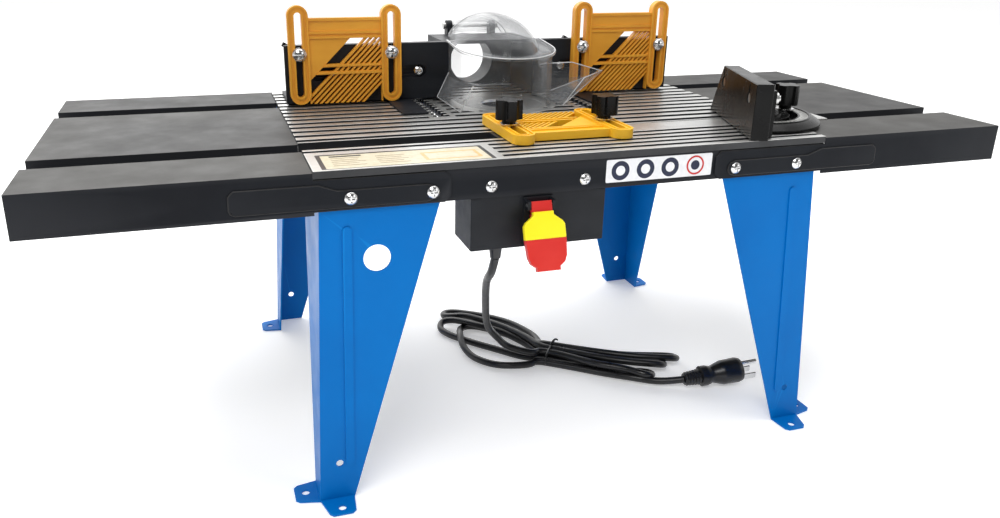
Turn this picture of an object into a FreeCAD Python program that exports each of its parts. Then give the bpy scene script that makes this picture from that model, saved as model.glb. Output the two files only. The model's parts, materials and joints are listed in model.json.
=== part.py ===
import FreeCAD, Part
import math
import os

import Sketcher
from FreeCAD import Placement, Rotation, Vector

# Benchtop router table, modelled in millimetres.
# +X runs along the wings to the right, +Y from the front edge to the back and +Z up.
# The origin lies on the floor, under the middle of the table.

SIZES = {
    "overall_length": 850, "table_depth": 335, "top_level": 277.5,
    "top_left": -222, "top_right": 227, "top_thick": 6, "rib_groove_deep": 1.5,
    "slot_from_front": 77.5, "slot_wide": 25.4, "slot_deep": 9, "slot_wall": 4,
    "bit_from_front": 212.5, "bit_hole_radius": 34, "bit_seat_radius": 40.4, "bit_ring_radius": 55,
    "router_hole_reach": 48,
    "seat_deep": 3, "insert_hole_radius": 22, "fence_slot_x": 78, "fence_slot_wide": 16,
    "fence_slot_start": 162, "fence_slot_end": 306, "bolt_slot_wide": 7,
    "wing_level": 276, "wing_side": 32.5, "sheet": 1.5, "wing_groove_wide": 25,
    "wing_groove_deep": 10, "front_groove": 77.5, "back_groove": 260.5,
    "plate_inner_end": 117, "plate_low": 246, "plate_high": 270.4, "emboss": 0.8,
    "apron_low": 246, "apron_return": 24,
    "leg_top_x": 219, "leg_foot_x": 230.6, "leg_foot_y": 11, "leg_top_wide": 94,
    "leg_foot_wide": 28.5, "leg_side_top": 86, "leg_side_foot": 29, "leg_height": 246,
    "foot_tab_out": 21, "side_tab_out": 19, "foot_hole_radius": 3.25, "foot_hole_out": 13,
    "cord_hole_radius": 10.8, "left_outer_screw_x": -195, "left_inner_screw_x": -131.5,
    "right_outer_screw_x": 199, "right_inner_screw_x": 137, "screw_level": 255,
    "screw_head_radius": 5.0, "screw_shank_radius": 2.5,
    "box_left": -100, "box_right": 16.5, "box_low": 201, "box_deep": 44, "box_wall": 2.5,
    "switch_x": -43.5, "switch_wide": 25, "switch_low": 203, "switch_high": 245,
    "paddle_wide": 35, "paddle_thick": 5, "paddle_tilt": 21,
    "fence_face_front": 245, "face_thick": 5.7, "face_low": 279.8, "fence_top": 336.5,
    "left_face_outer": 214, "right_face_outer": 206, "face_inner": 45, "wall_thick": 3.5, "fence_base_back": 312,
    "hood_half": 50, "hood_back": 320, "hood_wall": 2.5, "port_radius": 27, "port_bore_radius": 24.5,
    "port_long": 30, "port_level": 306,
    "board_long": 95, "rail_radius": 10, "rail_thick": 8, "web_thick": 5.5,
    "rail_x": 45.5, "rail_slot_radius": 3.5, "board_slot_low": 10.5, "board_slot_high": 85,
    "feather_pitch": 5.3, "feather_gap": 2.7,
    "left_board_x": -155, "right_board_x": 144, "board_low": 280, "feather_bolt_level": 329,
    "flat_board_x": 3, "flat_board_front": 33, "flat_board_level": 278, "slot_bar_long": 118,
    "mitre_bar_wide": 24.9, "mitre_bar_high": 8.4, "mitre_bar_left": 70, "mitre_bar_right": 282,
    "mitre_pivot_x": 201, "mitre_turn": -18.9, "protractor_radius": 64, "protractor_thick": 7,
    "mitre_face_near": -90, "mitre_face_far": 50, "mitre_face_slope": 34,
    "mitre_face_thick": 15, "mitre_face_high": 48, "mitre_face_back": 9, "mitre_stud_reach": 40,
    "guard_radius": 48, "guard_centre": 208, "guard_wall": 2, "guard_low": 280,
    "cord_radius": 3.75,
}

doc = FreeCAD.newDocument("RouterTable")
sheet = doc.addObject("Spreadsheet::Sheet", "Sizes")
for row, (alias, value) in enumerate(SIZES.items(), start=1):
    sheet.set("A%d" % row, alias)
    sheet.set("B%d" % row, str(value))
    sheet.setAlias("B%d" % row, alias)
doc.recompute()

size = {alias: float(getattr(sheet, alias)) for alias in SIZES}
HALF_DEPTH = size["table_depth"] / 2
SHEET = size["sheet"]
nodes = []


def from_front(distance):
    """Y of a point that lies this far behind the table's front edge."""
    return distance - HALF_DEPTH


def value_of(term):
    """Number behind a term, which is a number or an expression on the sheet's cells."""
    if isinstance(term, str):
        return float(sheet.evalExpression(term))
    return float(term)


# ---------------------------------------------------------------- sketch helpers

def new_body(name, placement=None):
    body = doc.addObject("PartDesign::Body", name)
    body.Label = name
    if placement is not None:
        body.Placement = placement
    nodes.append(body)
    return body


def new_sketch(body, plane, offset=0.0, turn=None):
    """Sketch on one of the body's origin planes; offset lifts it along the plane's normal."""
    sketch = body.newObject("Sketcher::SketchObject", body.Name + "_sketch")
    origin_plane = [p for p in body.Origin.OriginFeatures if p.Role == plane + "_Plane"][0]
    sketch.AttachmentSupport = [(origin_plane, "")]
    sketch.MapMode = "FlatFace"
    rotation = turn if turn is not None else Rotation()
    sketch.AttachmentOffset = Placement(Vector(0, 0, value_of(offset)), rotation)
    if isinstance(offset, str):
        sketch.setExpression("AttachmentOffset.Base.z", offset)
    return sketch


def bind(sketch, kind, geometry, point, term):
    """Ties one coordinate of a sketch point, or a radius, to the sheet."""
    if kind == "Radius":
        number = sketch.addConstraint(Sketcher.Constraint("Radius", geometry, value_of(term)))
    else:
        constraint = Sketcher.Constraint(kind, -1, 1, geometry, point, value_of(term))
        number = sketch.addConstraint(constraint)
    if isinstance(term, str):
        sketch.setExpression("Constraints[%d]" % number, term)


def polygon(sketch, points):
    """Closed outline; a coordinate given as an expression stays bound to the sheet."""
    corners = [Vector(value_of(x), value_of(y), 0) for x, y in points]
    count = len(corners)
    first = sketch.GeometryCount
    for i in range(count):
        sketch.addGeometry(Part.LineSegment(corners[i], corners[(i + 1) % count]), False)
    for i in range(count):
        following = first + (i + 1) % count
        sketch.addConstraint(Sketcher.Constraint("Coincident", first + i, 2, following, 1))
    for i, (x, y) in enumerate(points):
        if isinstance(x, str):
            bind(sketch, "DistanceX", first + i, 1, x)
        if isinstance(y, str):
            bind(sketch, "DistanceY", first + i, 1, y)


def rectangle(sketch, left, low, right, high):
    polygon(sketch, [(left, low), (right, low), (right, high), (left, high)])


def circle(sketch, x, y, radius):
    centre = Vector(value_of(x), value_of(y), 0)
    number = sketch.addGeometry(Part.Circle(centre, Vector(0, 0, 1), value_of(radius)), False)
    bind(sketch, "DistanceX", number, 3, x)
    bind(sketch, "DistanceY", number, 3, y)
    bind(sketch, "Radius", number, 0, radius)


def stadium(sketch, x0, y0, x1, y1, radius):
    """Slot outline around the straight line from one end centre to the other."""
    start = Vector(x0, y0, 0)
    end = Vector(x1, y1, 0)
    along = (end - start).normalize()
    side = Vector(-along.y, along.x, 0) * radius
    tip = along * radius
    pieces = [
        Part.LineSegment(start - side, end - side),
        Part.Arc(end - side, end + tip, end + side),
        Part.LineSegment(end + side, start + side),
        Part.Arc(start + side, start - tip, start - side),
    ]
    first = sketch.GeometryCount
    for piece in pieces:
        sketch.addGeometry(piece, False)
    ends = [(first, 2, first + 1, 1), (first + 1, 2, first + 2, 1),
            (first + 2, 2, first + 3, 1), (first + 3, 2, first, 1)]
    for a, a_end, b, b_end in ends:
        sketch.addConstraint(Sketcher.Constraint("Coincident", a, a_end, b, b_end))


def pad(body, sketch, length, reverse=False):
    feature = body.newObject("PartDesign::Pad", body.Name + "_pad")
    feature.Profile = sketch
    feature.Length = value_of(length)
    if isinstance(length, str):
        feature.setExpression("Length", length)
    feature.Reversed = reverse
    doc.recompute()
    return feature


def pocket(body, sketch, length=None, reverse=False):
    """Cuts to a depth, or through everything both ways when no depth is given."""
    before = body.Shape.Volume
    feature = body.newObject("PartDesign::Pocket", body.Name + "_pocket")
    feature.Profile = sketch
    if length is None:
        feature.Type = "ThroughAll"
        feature.Midplane = True
    else:
        feature.Length = value_of(length)
        if isinstance(length, str):
            feature.setExpression("Length", length)
    feature.Reversed = reverse
    doc.recompute()
    if body.Shape.Volume > before - 0.5:
        raise RuntimeError("pocket in %s cuts nothing" % body.Label)
    return feature


def keep(name, shape, placement=None):
    """Sub-part whose solid comes straight from Part's own functions."""
    feature = doc.addObject("Part::Feature", name)
    feature.Label = name
    feature.Shape = shape
    if placement is not None:
        feature.Placement = placement
    nodes.append(feature)
    return feature


def box(x0, y0, z0, x1, y1, z1):
    return Part.makeBox(x1 - x0, y1 - y0, z1 - z0, Vector(x0, y0, z0))


def rod(x, y, z, radius, length, axis=Vector(0, 0, 1)):
    return Part.makeCylinder(radius, length, Vector(x, y, z), axis)


def join(shapes):
    return shapes[0].multiFuse(shapes[1:]).removeSplitter()


# ---------------------------------------------------------------- table top

def make_table_top():
    body = new_body("table_top")
    left_end, right_end = "Sizes.top_left", "Sizes.top_right"
    front = "-Sizes.table_depth / 2"
    bottom = "Sizes.top_level - Sizes.top_thick"
    plate = new_sketch(body, "XY", bottom)
    rectangle(plate, left_end, front, right_end, "Sizes.table_depth / 2")
    pad(body, plate, "Sizes.top_thick")

    slot_y = "Sizes.slot_from_front - Sizes.table_depth / 2"
    channel = new_sketch(body, "XY", bottom)
    reach = "(Sizes.slot_wide / 2 + Sizes.slot_wall)"
    rectangle(channel, left_end, "%s - %s" % (slot_y, reach), right_end, "%s + %s" % (slot_y, reach))
    pad(body, channel, "Sizes.slot_deep + Sizes.slot_wall - Sizes.top_thick", reverse=True)

    grooves = new_sketch(body, "XY", "Sizes.top_level")
    label_right = -72
    front_groove, front_pitch, front_count, front_wide = 9.4, 12.0, 5, 6.2
    for i in range(front_count):
        middle = from_front(front_groove + front_pitch * i)
        left = label_right if i < 4 else left_end
        rectangle(grooves, left, middle - front_wide / 2, right_end, middle + front_wide / 2)
    back_groove, back_pitch, back_count, back_wide = 96.4, 16.47, 14, 8.2
    for i in range(back_count):
        middle = from_front(back_groove + back_pitch * i)
        rectangle(grooves, left_end, middle - back_wide / 2, right_end, middle + back_wide / 2)
    pocket(body, grooves, "Sizes.rib_groove_deep")

    # flat borders that stay level with the ribs round the bit hole and the fence slots
    borders = new_sketch(body, "XY", "Sizes.top_level - Sizes.rib_groove_deep")
    circle(borders, 0, "Sizes.bit_from_front - Sizes.table_depth / 2", "Sizes.bit_ring_radius")
    pad(body, borders, "Sizes.rib_groove_deep")
    for side in (-1, 1):
        strip = new_sketch(body, "XY", "Sizes.top_level - Sizes.rib_groove_deep")
        middle = side * size["fence_slot_x"]
        rectangle(strip, middle - 13, from_front(156), middle + 13, from_front(312))
        pad(body, strip, "Sizes.rib_groove_deep")

    slot = new_sketch(body, "XY", "Sizes.top_level")
    rectangle(slot, left_end, slot_y + " - Sizes.slot_wide / 2", right_end, slot_y + " + Sizes.slot_wide / 2")
    pocket(body, slot, "Sizes.slot_deep")

    seat = new_sketch(body, "XY", "Sizes.top_level")
    circle(seat, 0, "Sizes.bit_from_front - Sizes.table_depth / 2", "Sizes.bit_seat_radius")
    pocket(body, seat, "Sizes.seat_deep")
    hole = new_sketch(body, "XY", "Sizes.top_level")
    circle(hole, 0, "Sizes.bit_from_front - Sizes.table_depth / 2", "Sizes.bit_hole_radius")
    pocket(body, hole)

    # each fence slot: a wide trough with cross ribs, and a narrow bolt slot through its floor
    trough = new_sketch(body, "XY", "Sizes.top_level")
    start, end = size["fence_slot_start"], size["fence_slot_end"]
    rib, cells = 3.0, 14
    cell = (end - start - rib * (cells - 1)) / cells
    for side in (-1, 1):
        middle = side * size["fence_slot_x"]
        left = middle - size["fence_slot_wide"] / 2
        right = middle + size["fence_slot_wide"] / 2
        for i in range(cells):
            low = from_front(start + i * (cell + rib))
            rectangle(trough, left, low, right, low + cell)
    pocket(body, trough, 4.0)
    bolt_slots = new_sketch(body, "XY", "Sizes.top_level")
    for side in (-1, 1):
        middle = side * size["fence_slot_x"]
        stadium(bolt_slots, middle, from_front(start + 5), middle, from_front(end - 5),
                size["bolt_slot_wide"] / 2)
    pocket(body, bolt_slots)

    # four countersunk holes that hold the router's base under the top
    router_holes = new_sketch(body, "XY", "Sizes.top_level")
    for turn in (45, 135, 225, 315):
        x = size["router_hole_reach"] * math.cos(math.radians(turn))
        y = from_front(size["bit_from_front"]) + size["router_hole_reach"] * math.sin(math.radians(turn))
        circle(router_holes, x, y, 2.6)
    pocket(body, router_holes)


def make_insert_ring():
    body = new_body("insert_ring")
    ring = new_sketch(body, "XY", "Sizes.top_level - Sizes.seat_deep + 0.05")
    bit_y = "Sizes.bit_from_front - Sizes.table_depth / 2"
    circle(ring, 0, bit_y, "Sizes.bit_seat_radius - 0.4")
    circle(ring, 0, bit_y, "Sizes.insert_hole_radius")
    pad(body, ring, "Sizes.seat_deep - 0.15")


# ---------------------------------------------------------------- wings, aprons and legs

def wing_outline():
    """Outer outline of a wing's cross-section, from its front foot round to its back foot."""
    low = "Sizes.wing_level - Sizes.wing_side"
    high = "Sizes.wing_level"
    floor = "Sizes.wing_level - Sizes.wing_groove_deep"
    points = [("-Sizes.table_depth / 2", low), ("-Sizes.table_depth / 2", high)]
    for groove in ("Sizes.front_groove", "Sizes.back_groove"):
        for end, first, second in (("-", high, floor), ("+", floor, high)):
            y = "%s - Sizes.table_depth / 2 %s Sizes.wing_groove_wide / 2" % (groove, end)
            points += [(y, first), (y, second)]
    return points + [("Sizes.table_depth / 2", high), ("Sizes.table_depth / 2", low)]


def wing_lining():
    """Inner outline of the same sheet, one sheet thickness inside, from back to front."""
    low = "Sizes.wing_level - Sizes.wing_side"
    high = "Sizes.wing_level - Sizes.sheet"
    floor = "Sizes.wing_level - Sizes.wing_groove_deep - Sizes.sheet"
    points = [("Sizes.table_depth / 2 - Sizes.sheet", low), ("Sizes.table_depth / 2 - Sizes.sheet", high)]
    for groove in ("Sizes.back_groove", "Sizes.front_groove"):
        for end, first, second in (("+", high, floor), ("-", floor, high)):
            y = "%s - Sizes.table_depth / 2 %s (Sizes.wing_groove_wide / 2 + Sizes.sheet)" % (groove, end)
            points += [(y, first), (y, second)]
    return points + [("-Sizes.table_depth / 2 + Sizes.sheet", high),
                     ("-Sizes.table_depth / 2 + Sizes.sheet", low)]


def frame_screws(side):
    """Sheet cells with the X of the outer and the inner screw on one side."""
    word = "right" if side > 0 else "left"
    return ["Sizes.%s_outer_screw_x" % word, "Sizes.%s_inner_screw_x" % word]


def make_wing(name, side):
    """One pressed sheet wing; side is -1 for the left wing and +1 for the right one."""
    body = new_body(name)
    top_end = size["top_right"] if side > 0 else -size["top_left"]
    start = "Sizes.top_right + 0.3" if side > 0 else "Sizes.top_left - 0.3"
    length = "Sizes.overall_length / 2 %s - 0.3" % ("- Sizes.top_right" if side > 0 else "+ Sizes.top_left")
    deck = new_sketch(body, "YZ", start)
    polygon(deck, wing_outline() + wing_lining())
    pad(body, deck, length, reverse=side < 0)
    end_cap = new_sketch(body, "YZ", "%s Sizes.overall_length / 2" % ("" if side > 0 else "-"))
    polygon(end_cap, wing_outline())
    pad(body, end_cap, "Sizes.sheet", reverse=side > 0)

    # long plates that lap over the ends of both aprons
    for face in (-1, 1):
        outer_face = face * HALF_DEPTH
        plate = new_sketch(body, "XZ", -outer_face)
        corner = 5
        near, far = side * size["plate_inner_end"], side * (top_end + 6)
        low, high = size["plate_low"], size["plate_high"]
        polygon(plate, [(far, low), (near + side * corner, low), (near, low + corner),
                        (near, high - corner), (near + side * corner, high), (far, high)])
        pad(body, plate, "Sizes.sheet", reverse=face < 0)
        panel = new_sketch(body, "XZ", -outer_face)
        step = top_end - 222
        emboss = [(279, 248.5), (136, 248.5), (132, 250), (129.5, 253), (129.5, 257), (132, 260),
                  (136, 261.5), (205 + step, 261.5), (219 + step, 266.6), (279, 266.6), (283, 262.5),
                  (283, 252.5)]
        polygon(panel, [(side * x, z) for x, z in emboss])
        pad(body, panel, "Sizes.emboss", reverse=face > 0)
    holes = new_sketch(body, "XZ", 0)
    for x in frame_screws(side):
        circle(holes, x, "Sizes.screw_level", "Sizes.screw_shank_radius")
    pocket(body, holes)


def make_apron(name, face):
    """Pressed channel under the top's front or back edge; face is -1 for the front one."""
    body = new_body(name)
    profile = new_sketch(body, "YZ", "Sizes.top_left")
    high = "Sizes.top_level - Sizes.top_thick"
    outer = "Sizes.table_depth / 2 - Sizes.sheet - 0.02"
    sign = "-" if face < 0 else ""
    edge = "%s(%s)" % (sign, outer)
    inner = "%s(%s - Sizes.sheet)" % (sign, outer)
    back = "%s(%s - Sizes.apron_return)" % (sign, outer)
    low = "Sizes.apron_low"
    polygon(profile, [(edge, low), (edge, high), (back, high), (back, high + " - Sizes.sheet"),
                      (inner, high + " - Sizes.sheet"), (inner, low)])
    pad(body, profile, "Sizes.top_right - Sizes.top_left")
    holes = new_sketch(body, "XZ", 0)
    for x in frame_screws(-1) + frame_screws(1):
        circle(holes, x, "Sizes.screw_level", "Sizes.screw_shank_radius")
    if face < 0:
        for x in BOX_SCREWS:
            circle(holes, x, "Sizes.screw_level", "Sizes.screw_shank_radius")
    pocket(body, holes)


def make_leg(name, side, face, outwards=0.0, has_cord_hole=False):
    """Folded L-section leg that splays outwards; side and face are the signs of its X and Y."""
    top_x = size["leg_top_x"] + outwards
    foot_x = size["leg_foot_x"] + outwards
    body = new_body(name)
    top_y = HALF_DEPTH - 2 * SHEET - 0.04
    foot_y = HALF_DEPTH + size["leg_foot_y"]

    def section(corner_x, corner_y, front_wide, side_wide):
        points = [(corner_x, corner_y), (corner_x - front_wide, corner_y),
                  (corner_x - front_wide, corner_y - SHEET), (corner_x - SHEET, corner_y - SHEET),
                  (corner_x - SHEET, corner_y - side_wide), (corner_x, corner_y - side_wide)]
        return [(side * x, face * y) for x, y in points]

    foot = new_sketch(body, "XY", 0)
    polygon(foot, section(foot_x, foot_y, size["leg_foot_wide"], size["leg_side_foot"]))
    top = new_sketch(body, "XY", "Sizes.leg_height")
    polygon(top, section(top_x, top_y, size["leg_top_wide"], size["leg_side_top"]))
    loft = body.newObject("PartDesign::AdditiveLoft", name + "_loft")
    loft.Profile = foot
    loft.Sections = [top]
    loft.Ruled = True
    doc.recompute()

    # upright lug behind the apron, and a shorter one inside the wing's end
    lug = new_sketch(body, "XZ", -face * top_y)
    near = side * (top_x - size["leg_top_wide"])
    rectangle(lug, near, size["leg_height"] - 1, side * top_x, size["plate_high"] - 2)
    pad(body, lug, "Sizes.sheet", reverse=face < 0)

    # raised double bead down the middle of the front flange
    lean = math.degrees(math.atan2(foot_y - top_y, size["leg_height"]))
    tilt = Rotation(Vector(1, 0, 0), face * lean)
    bead = new_sketch(body, "XZ", 0, tilt)
    bead.AttachmentOffset = Placement(Vector(0, 0, -face * foot_y), tilt)
    inward = side * (198.5 + outwards)
    bead_low, bead_high = 34, 229
    stadium(bead, inward + side * 6.0, bead_low, inward, bead_high, 3.6)
    pad(body, bead, 1.2, reverse=face > 0)

    holes = new_sketch(body, "XZ", 0)
    for x in frame_screws(side):
        circle(holes, x, "Sizes.screw_level", "Sizes.screw_shank_radius")
    circle(holes, side * (213 + outwards), 33, 3.0)
    if has_cord_hole:
        circle(holes, side * 176, 205, "Sizes.cord_hole_radius")
    pocket(body, holes)

    # feet: a tapered tab with one hole, bent out from the bottom of each flange
    tabs = new_sketch(body, "XY", 0)
    corner = foot_x
    outer = foot_y + size["foot_tab_out"]
    front_tab = [(corner, foot_y - SHEET), (corner - 28.5, foot_y - SHEET), (corner - 26.5, outer - 3),
                 (corner - 23.5, outer), (corner - 8, outer), (corner - 5, outer - 3)]
    polygon(tabs, [(side * x, face * y) for x, y in front_tab])
    pad(body, tabs, "Sizes.sheet")
    side_tab_sketch = new_sketch(body, "XY", 0)
    reach = corner + size["side_tab_out"]
    side_tab = [(corner - SHEET, foot_y), (corner - SHEET, foot_y - 29), (reach - 3, foot_y - 26),
                (reach, foot_y - 23), (reach, foot_y - 7), (reach - 3, foot_y - 4)]
    polygon(side_tab_sketch, [(side * x, face * y) for x, y in side_tab])
    pad(body, side_tab_sketch, "Sizes.sheet")
    tab_holes = new_sketch(body, "XY", 0)
    circle(tab_holes, side * (corner - 16), face * (foot_y + size["foot_hole_out"]), "Sizes.foot_hole_radius")
    circle(tab_holes, side * (corner + 10), face * (foot_y - 15), "Sizes.foot_hole_radius")
    pocket(body, tab_holes, "Sizes.sheet", reverse=True)


# ---------------------------------------------------------------- fasteners

def pan_screw(x, y, z, length, outward, head_radius, shank_radius):
    """Cross-head pan screw along Y; outward is the sign of the side its head faces."""
    direction = Vector(0, -outward, 0)
    head_high = head_radius * 0.55
    crown = Part.makeSphere(head_radius * 1.25, Vector(x, y - outward * head_radius * 0.62, z))
    seat = Part.makeCylinder(head_radius, head_high, Vector(x, y, z), Vector(0, outward, 0))
    head = seat.common(crown)
    shank = Part.makeCylinder(shank_radius, length, Vector(x, y, z), direction)
    arm = head_radius * 0.55
    cross = [box(x - arm, min(y, y + outward * head_high) + head_high * 0.35, z - 0.55,
                 x + arm, max(y, y + outward * head_high) + head_high * 0.9, z + 0.55),
             box(x - 0.55, min(y, y + outward * head_high) + head_high * 0.35, z - arm,
                 x + 0.55, max(y, y + outward * head_high) + head_high * 0.9, z + arm)]
    if outward < 0:
        for cut in cross:
            cut.translate(Vector(0, -head_high * 1.25, 0))
    return head.multiFuse([shank]).cut(Part.makeCompound(cross)).removeSplitter()


def hex_nut(x, y, z, across, high, bore, axis=Vector(0, 1, 0)):
    corners = []
    for i in range(7):
        angle = math.radians(60 * i)
        corners.append(Vector(across / math.sqrt(3) * math.cos(angle),
                              across / math.sqrt(3) * math.sin(angle), 0))
    prism = Part.Face(Part.makePolygon(corners)).extrude(Vector(0, 0, high))
    prism = prism.cut(Part.makeCylinder(bore, high))
    prism.Placement = Placement(Vector(x, y, z), Rotation(Vector(0, 0, 1), axis))
    return prism


def make_frame_screws():
    clamp = 3 * SHEET + 0.04
    for name, face in (("front_frame", -1), ("rear_frame", 1)):
        screws, nuts = [], []
        for side in (-1, 1):
            for x in [value_of(cell) for cell in frame_screws(side)]:
                seat = face * (HALF_DEPTH + size["emboss"])
                length = clamp + size["emboss"] + 5.5
                screws.append(pan_screw(x, seat, size["screw_level"], length, face,
                                        size["screw_head_radius"], size["screw_shank_radius"] - 0.05))
                nut_y = face * (HALF_DEPTH - clamp)
                nuts.append(hex_nut(x, nut_y, size["screw_level"], 8, 4,
                                    size["screw_shank_radius"], Vector(0, -face, 0)))
        keep(name + "_screws", Part.makeCompound(screws))
        keep(name + "_nuts", Part.makeCompound(nuts))


# ---------------------------------------------------------------- switch box

def make_box_screws():
    seat = -(HALF_DEPTH - SHEET - 0.02)
    screws = [pan_screw(x, seat, size["screw_level"], 8, -1, size["screw_head_radius"],
                        size["screw_shank_radius"] - 0.05) for x in BOX_SCREWS]
    keep("box_screws", Part.makeCompound(screws))


def make_switch_box():
    body = new_body("switch_box")
    front = "-(Sizes.table_depth / 2 - 2 * Sizes.sheet - 0.04)"
    shell = new_sketch(body, "XY", "Sizes.box_low")
    rectangle(shell, "Sizes.box_left", front, "Sizes.box_right", front + " + Sizes.box_deep")
    pad(body, shell, "Sizes.apron_low - Sizes.box_low - 0.3")
    tab = new_sketch(body, "XY", "Sizes.apron_low - 2")
    rectangle(tab, "Sizes.box_left + 8", front, "Sizes.box_right - 8", front + " + 2.5")
    pad(body, tab, 20)
    hollow = new_sketch(body, "XY", "Sizes.apron_low - 0.3")
    rectangle(hollow, "Sizes.box_left + Sizes.box_wall", front + " + Sizes.box_wall",
              "Sizes.box_right - Sizes.box_wall", front + " + Sizes.box_deep - Sizes.box_wall")
    pocket(body, hollow, "Sizes.apron_low - 0.3 - Sizes.box_low - Sizes.box_wall")
    window = new_sketch(body, "XZ", HALF_DEPTH)
    rectangle(window, "Sizes.switch_x - Sizes.switch_wide / 2 + 2", "Sizes.switch_low + 2",
              "Sizes.switch_x + Sizes.switch_wide / 2 - 2", "Sizes.switch_high - 3")
    for x in BOX_SCREWS:
        circle(window, x, "Sizes.screw_level", "Sizes.screw_shank_radius")
    pocket(body, window, 8)
    outlet = new_sketch(body, "XY", "Sizes.box_low")
    circle(outlet, CORD_EXIT[0], CORD_EXIT[1], 6.0)
    pocket(body, outlet, 4, reverse=True)


def make_switch():
    """Bezel and case of the switch, its rocker, and the hinged stop paddle in front."""
    front = -(HALF_DEPTH - 2 * SHEET - 0.04)
    half = size["switch_wide"] / 2
    x = size["switch_x"]
    low, high = size["switch_low"], size["switch_high"] - 1
    bezel = box(x - half, front - 2.2, low, x + half, front, high)
    case = box(x - half + 2.3, front, low + 2.3, x + half - 2.3, front + 30, high - 3)
    well = box(x - 7.5, front - 3, low + 5, x + 7.5, front + 8, high - 12)
    ears = [box(x - 12, front - 9, high - 9, x - 9.2, front - 2, high - 2),
            box(x + 9.2, front - 9, high - 9, x + 12, front - 2, high - 2)]
    body = join([bezel, case] + ears).cut(well)
    pin_y, pin_z = front - 6.2, high - 5.5
    rocker_y, rocker_z = front + 1.5, (low + high) / 2 - 3.5
    pin_hole = rod(x - 13, pin_y, pin_z, 1.5, 26, Vector(1, 0, 0))
    rocker_hole = rod(x - 9.5, rocker_y, rocker_z, 1.25, 19, Vector(1, 0, 0))
    keep("switch_body", body.cut(pin_hole).cut(rocker_hole))
    keep("paddle_pin", rod(x - 12.2, pin_y, pin_z, 1.44, 24.4, Vector(1, 0, 0)))

    rocker = box(x - 7, front - 4.5, low + 6.5, x + 7, front + 3, high - 13.5)
    rocker = rocker.makeFillet(1.2, rocker.Edges)
    trunnion = rod(x - 9, rocker_y, rocker_z, 1.2, 18, Vector(1, 0, 0))
    keep("switch_rocker", join([rocker, trunnion]))

    # paddle outline in its own plane: narrow neck, rounded shoulders, tapered foot and tongue
    wide = size["paddle_wide"] / 2
    thick = size["paddle_thick"]
    neck, shoulder, split, foot, tongue = 9.0, 17.0, 28.0, 50.0, 53.5

    def slab(points, depth):
        corners = [Vector(px, 0, -pz) for px, pz in points]
        return Part.Face(Part.makePolygon(corners + corners[:1])).extrude(Vector(0, -depth, 0))

    hinge_bar = box(-8.8, -2.6, -6.0, 8.8, 2.2, 2.6)
    hinge_bar = hinge_bar.cut(rod(-10, 0, 0, 1.5, 20, Vector(1, 0, 0)))
    upper = slab([(-8.8, 6.0), (-8.8, neck), (-wide + 2, shoulder - 3), (-wide, shoulder), (-wide, split),
                  (wide, split), (wide, shoulder), (wide - 2, shoulder - 3), (8.8, neck), (8.8, 6.0)], thick)
    lower = slab([(-wide, split), (-wide + 1, foot - 8), (-wide + 3, foot - 3), (-wide + 7, foot),
                  (-10, foot), (-10, tongue), (10, tongue), (10, foot), (wide - 7, foot),
                  (wide - 3, foot - 3), (wide - 1, foot - 8), (wide, split)], thick)
    hollow = slab([(-wide + 3, shoulder + 2), (-wide + 3, split), (wide - 3, split), (wide - 3, shoulder + 2)],
                  thick - 2.5)
    upper = upper.cut(hollow)
    place = Placement(Vector(x, pin_y, pin_z), Rotation(Vector(1, 0, 0), -size["paddle_tilt"]))
    keep("paddle_hinge", hinge_bar, place)
    keep("paddle_hood", upper, place)
    keep("stop_pad", lower, place)


# ---------------------------------------------------------------- fence

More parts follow.
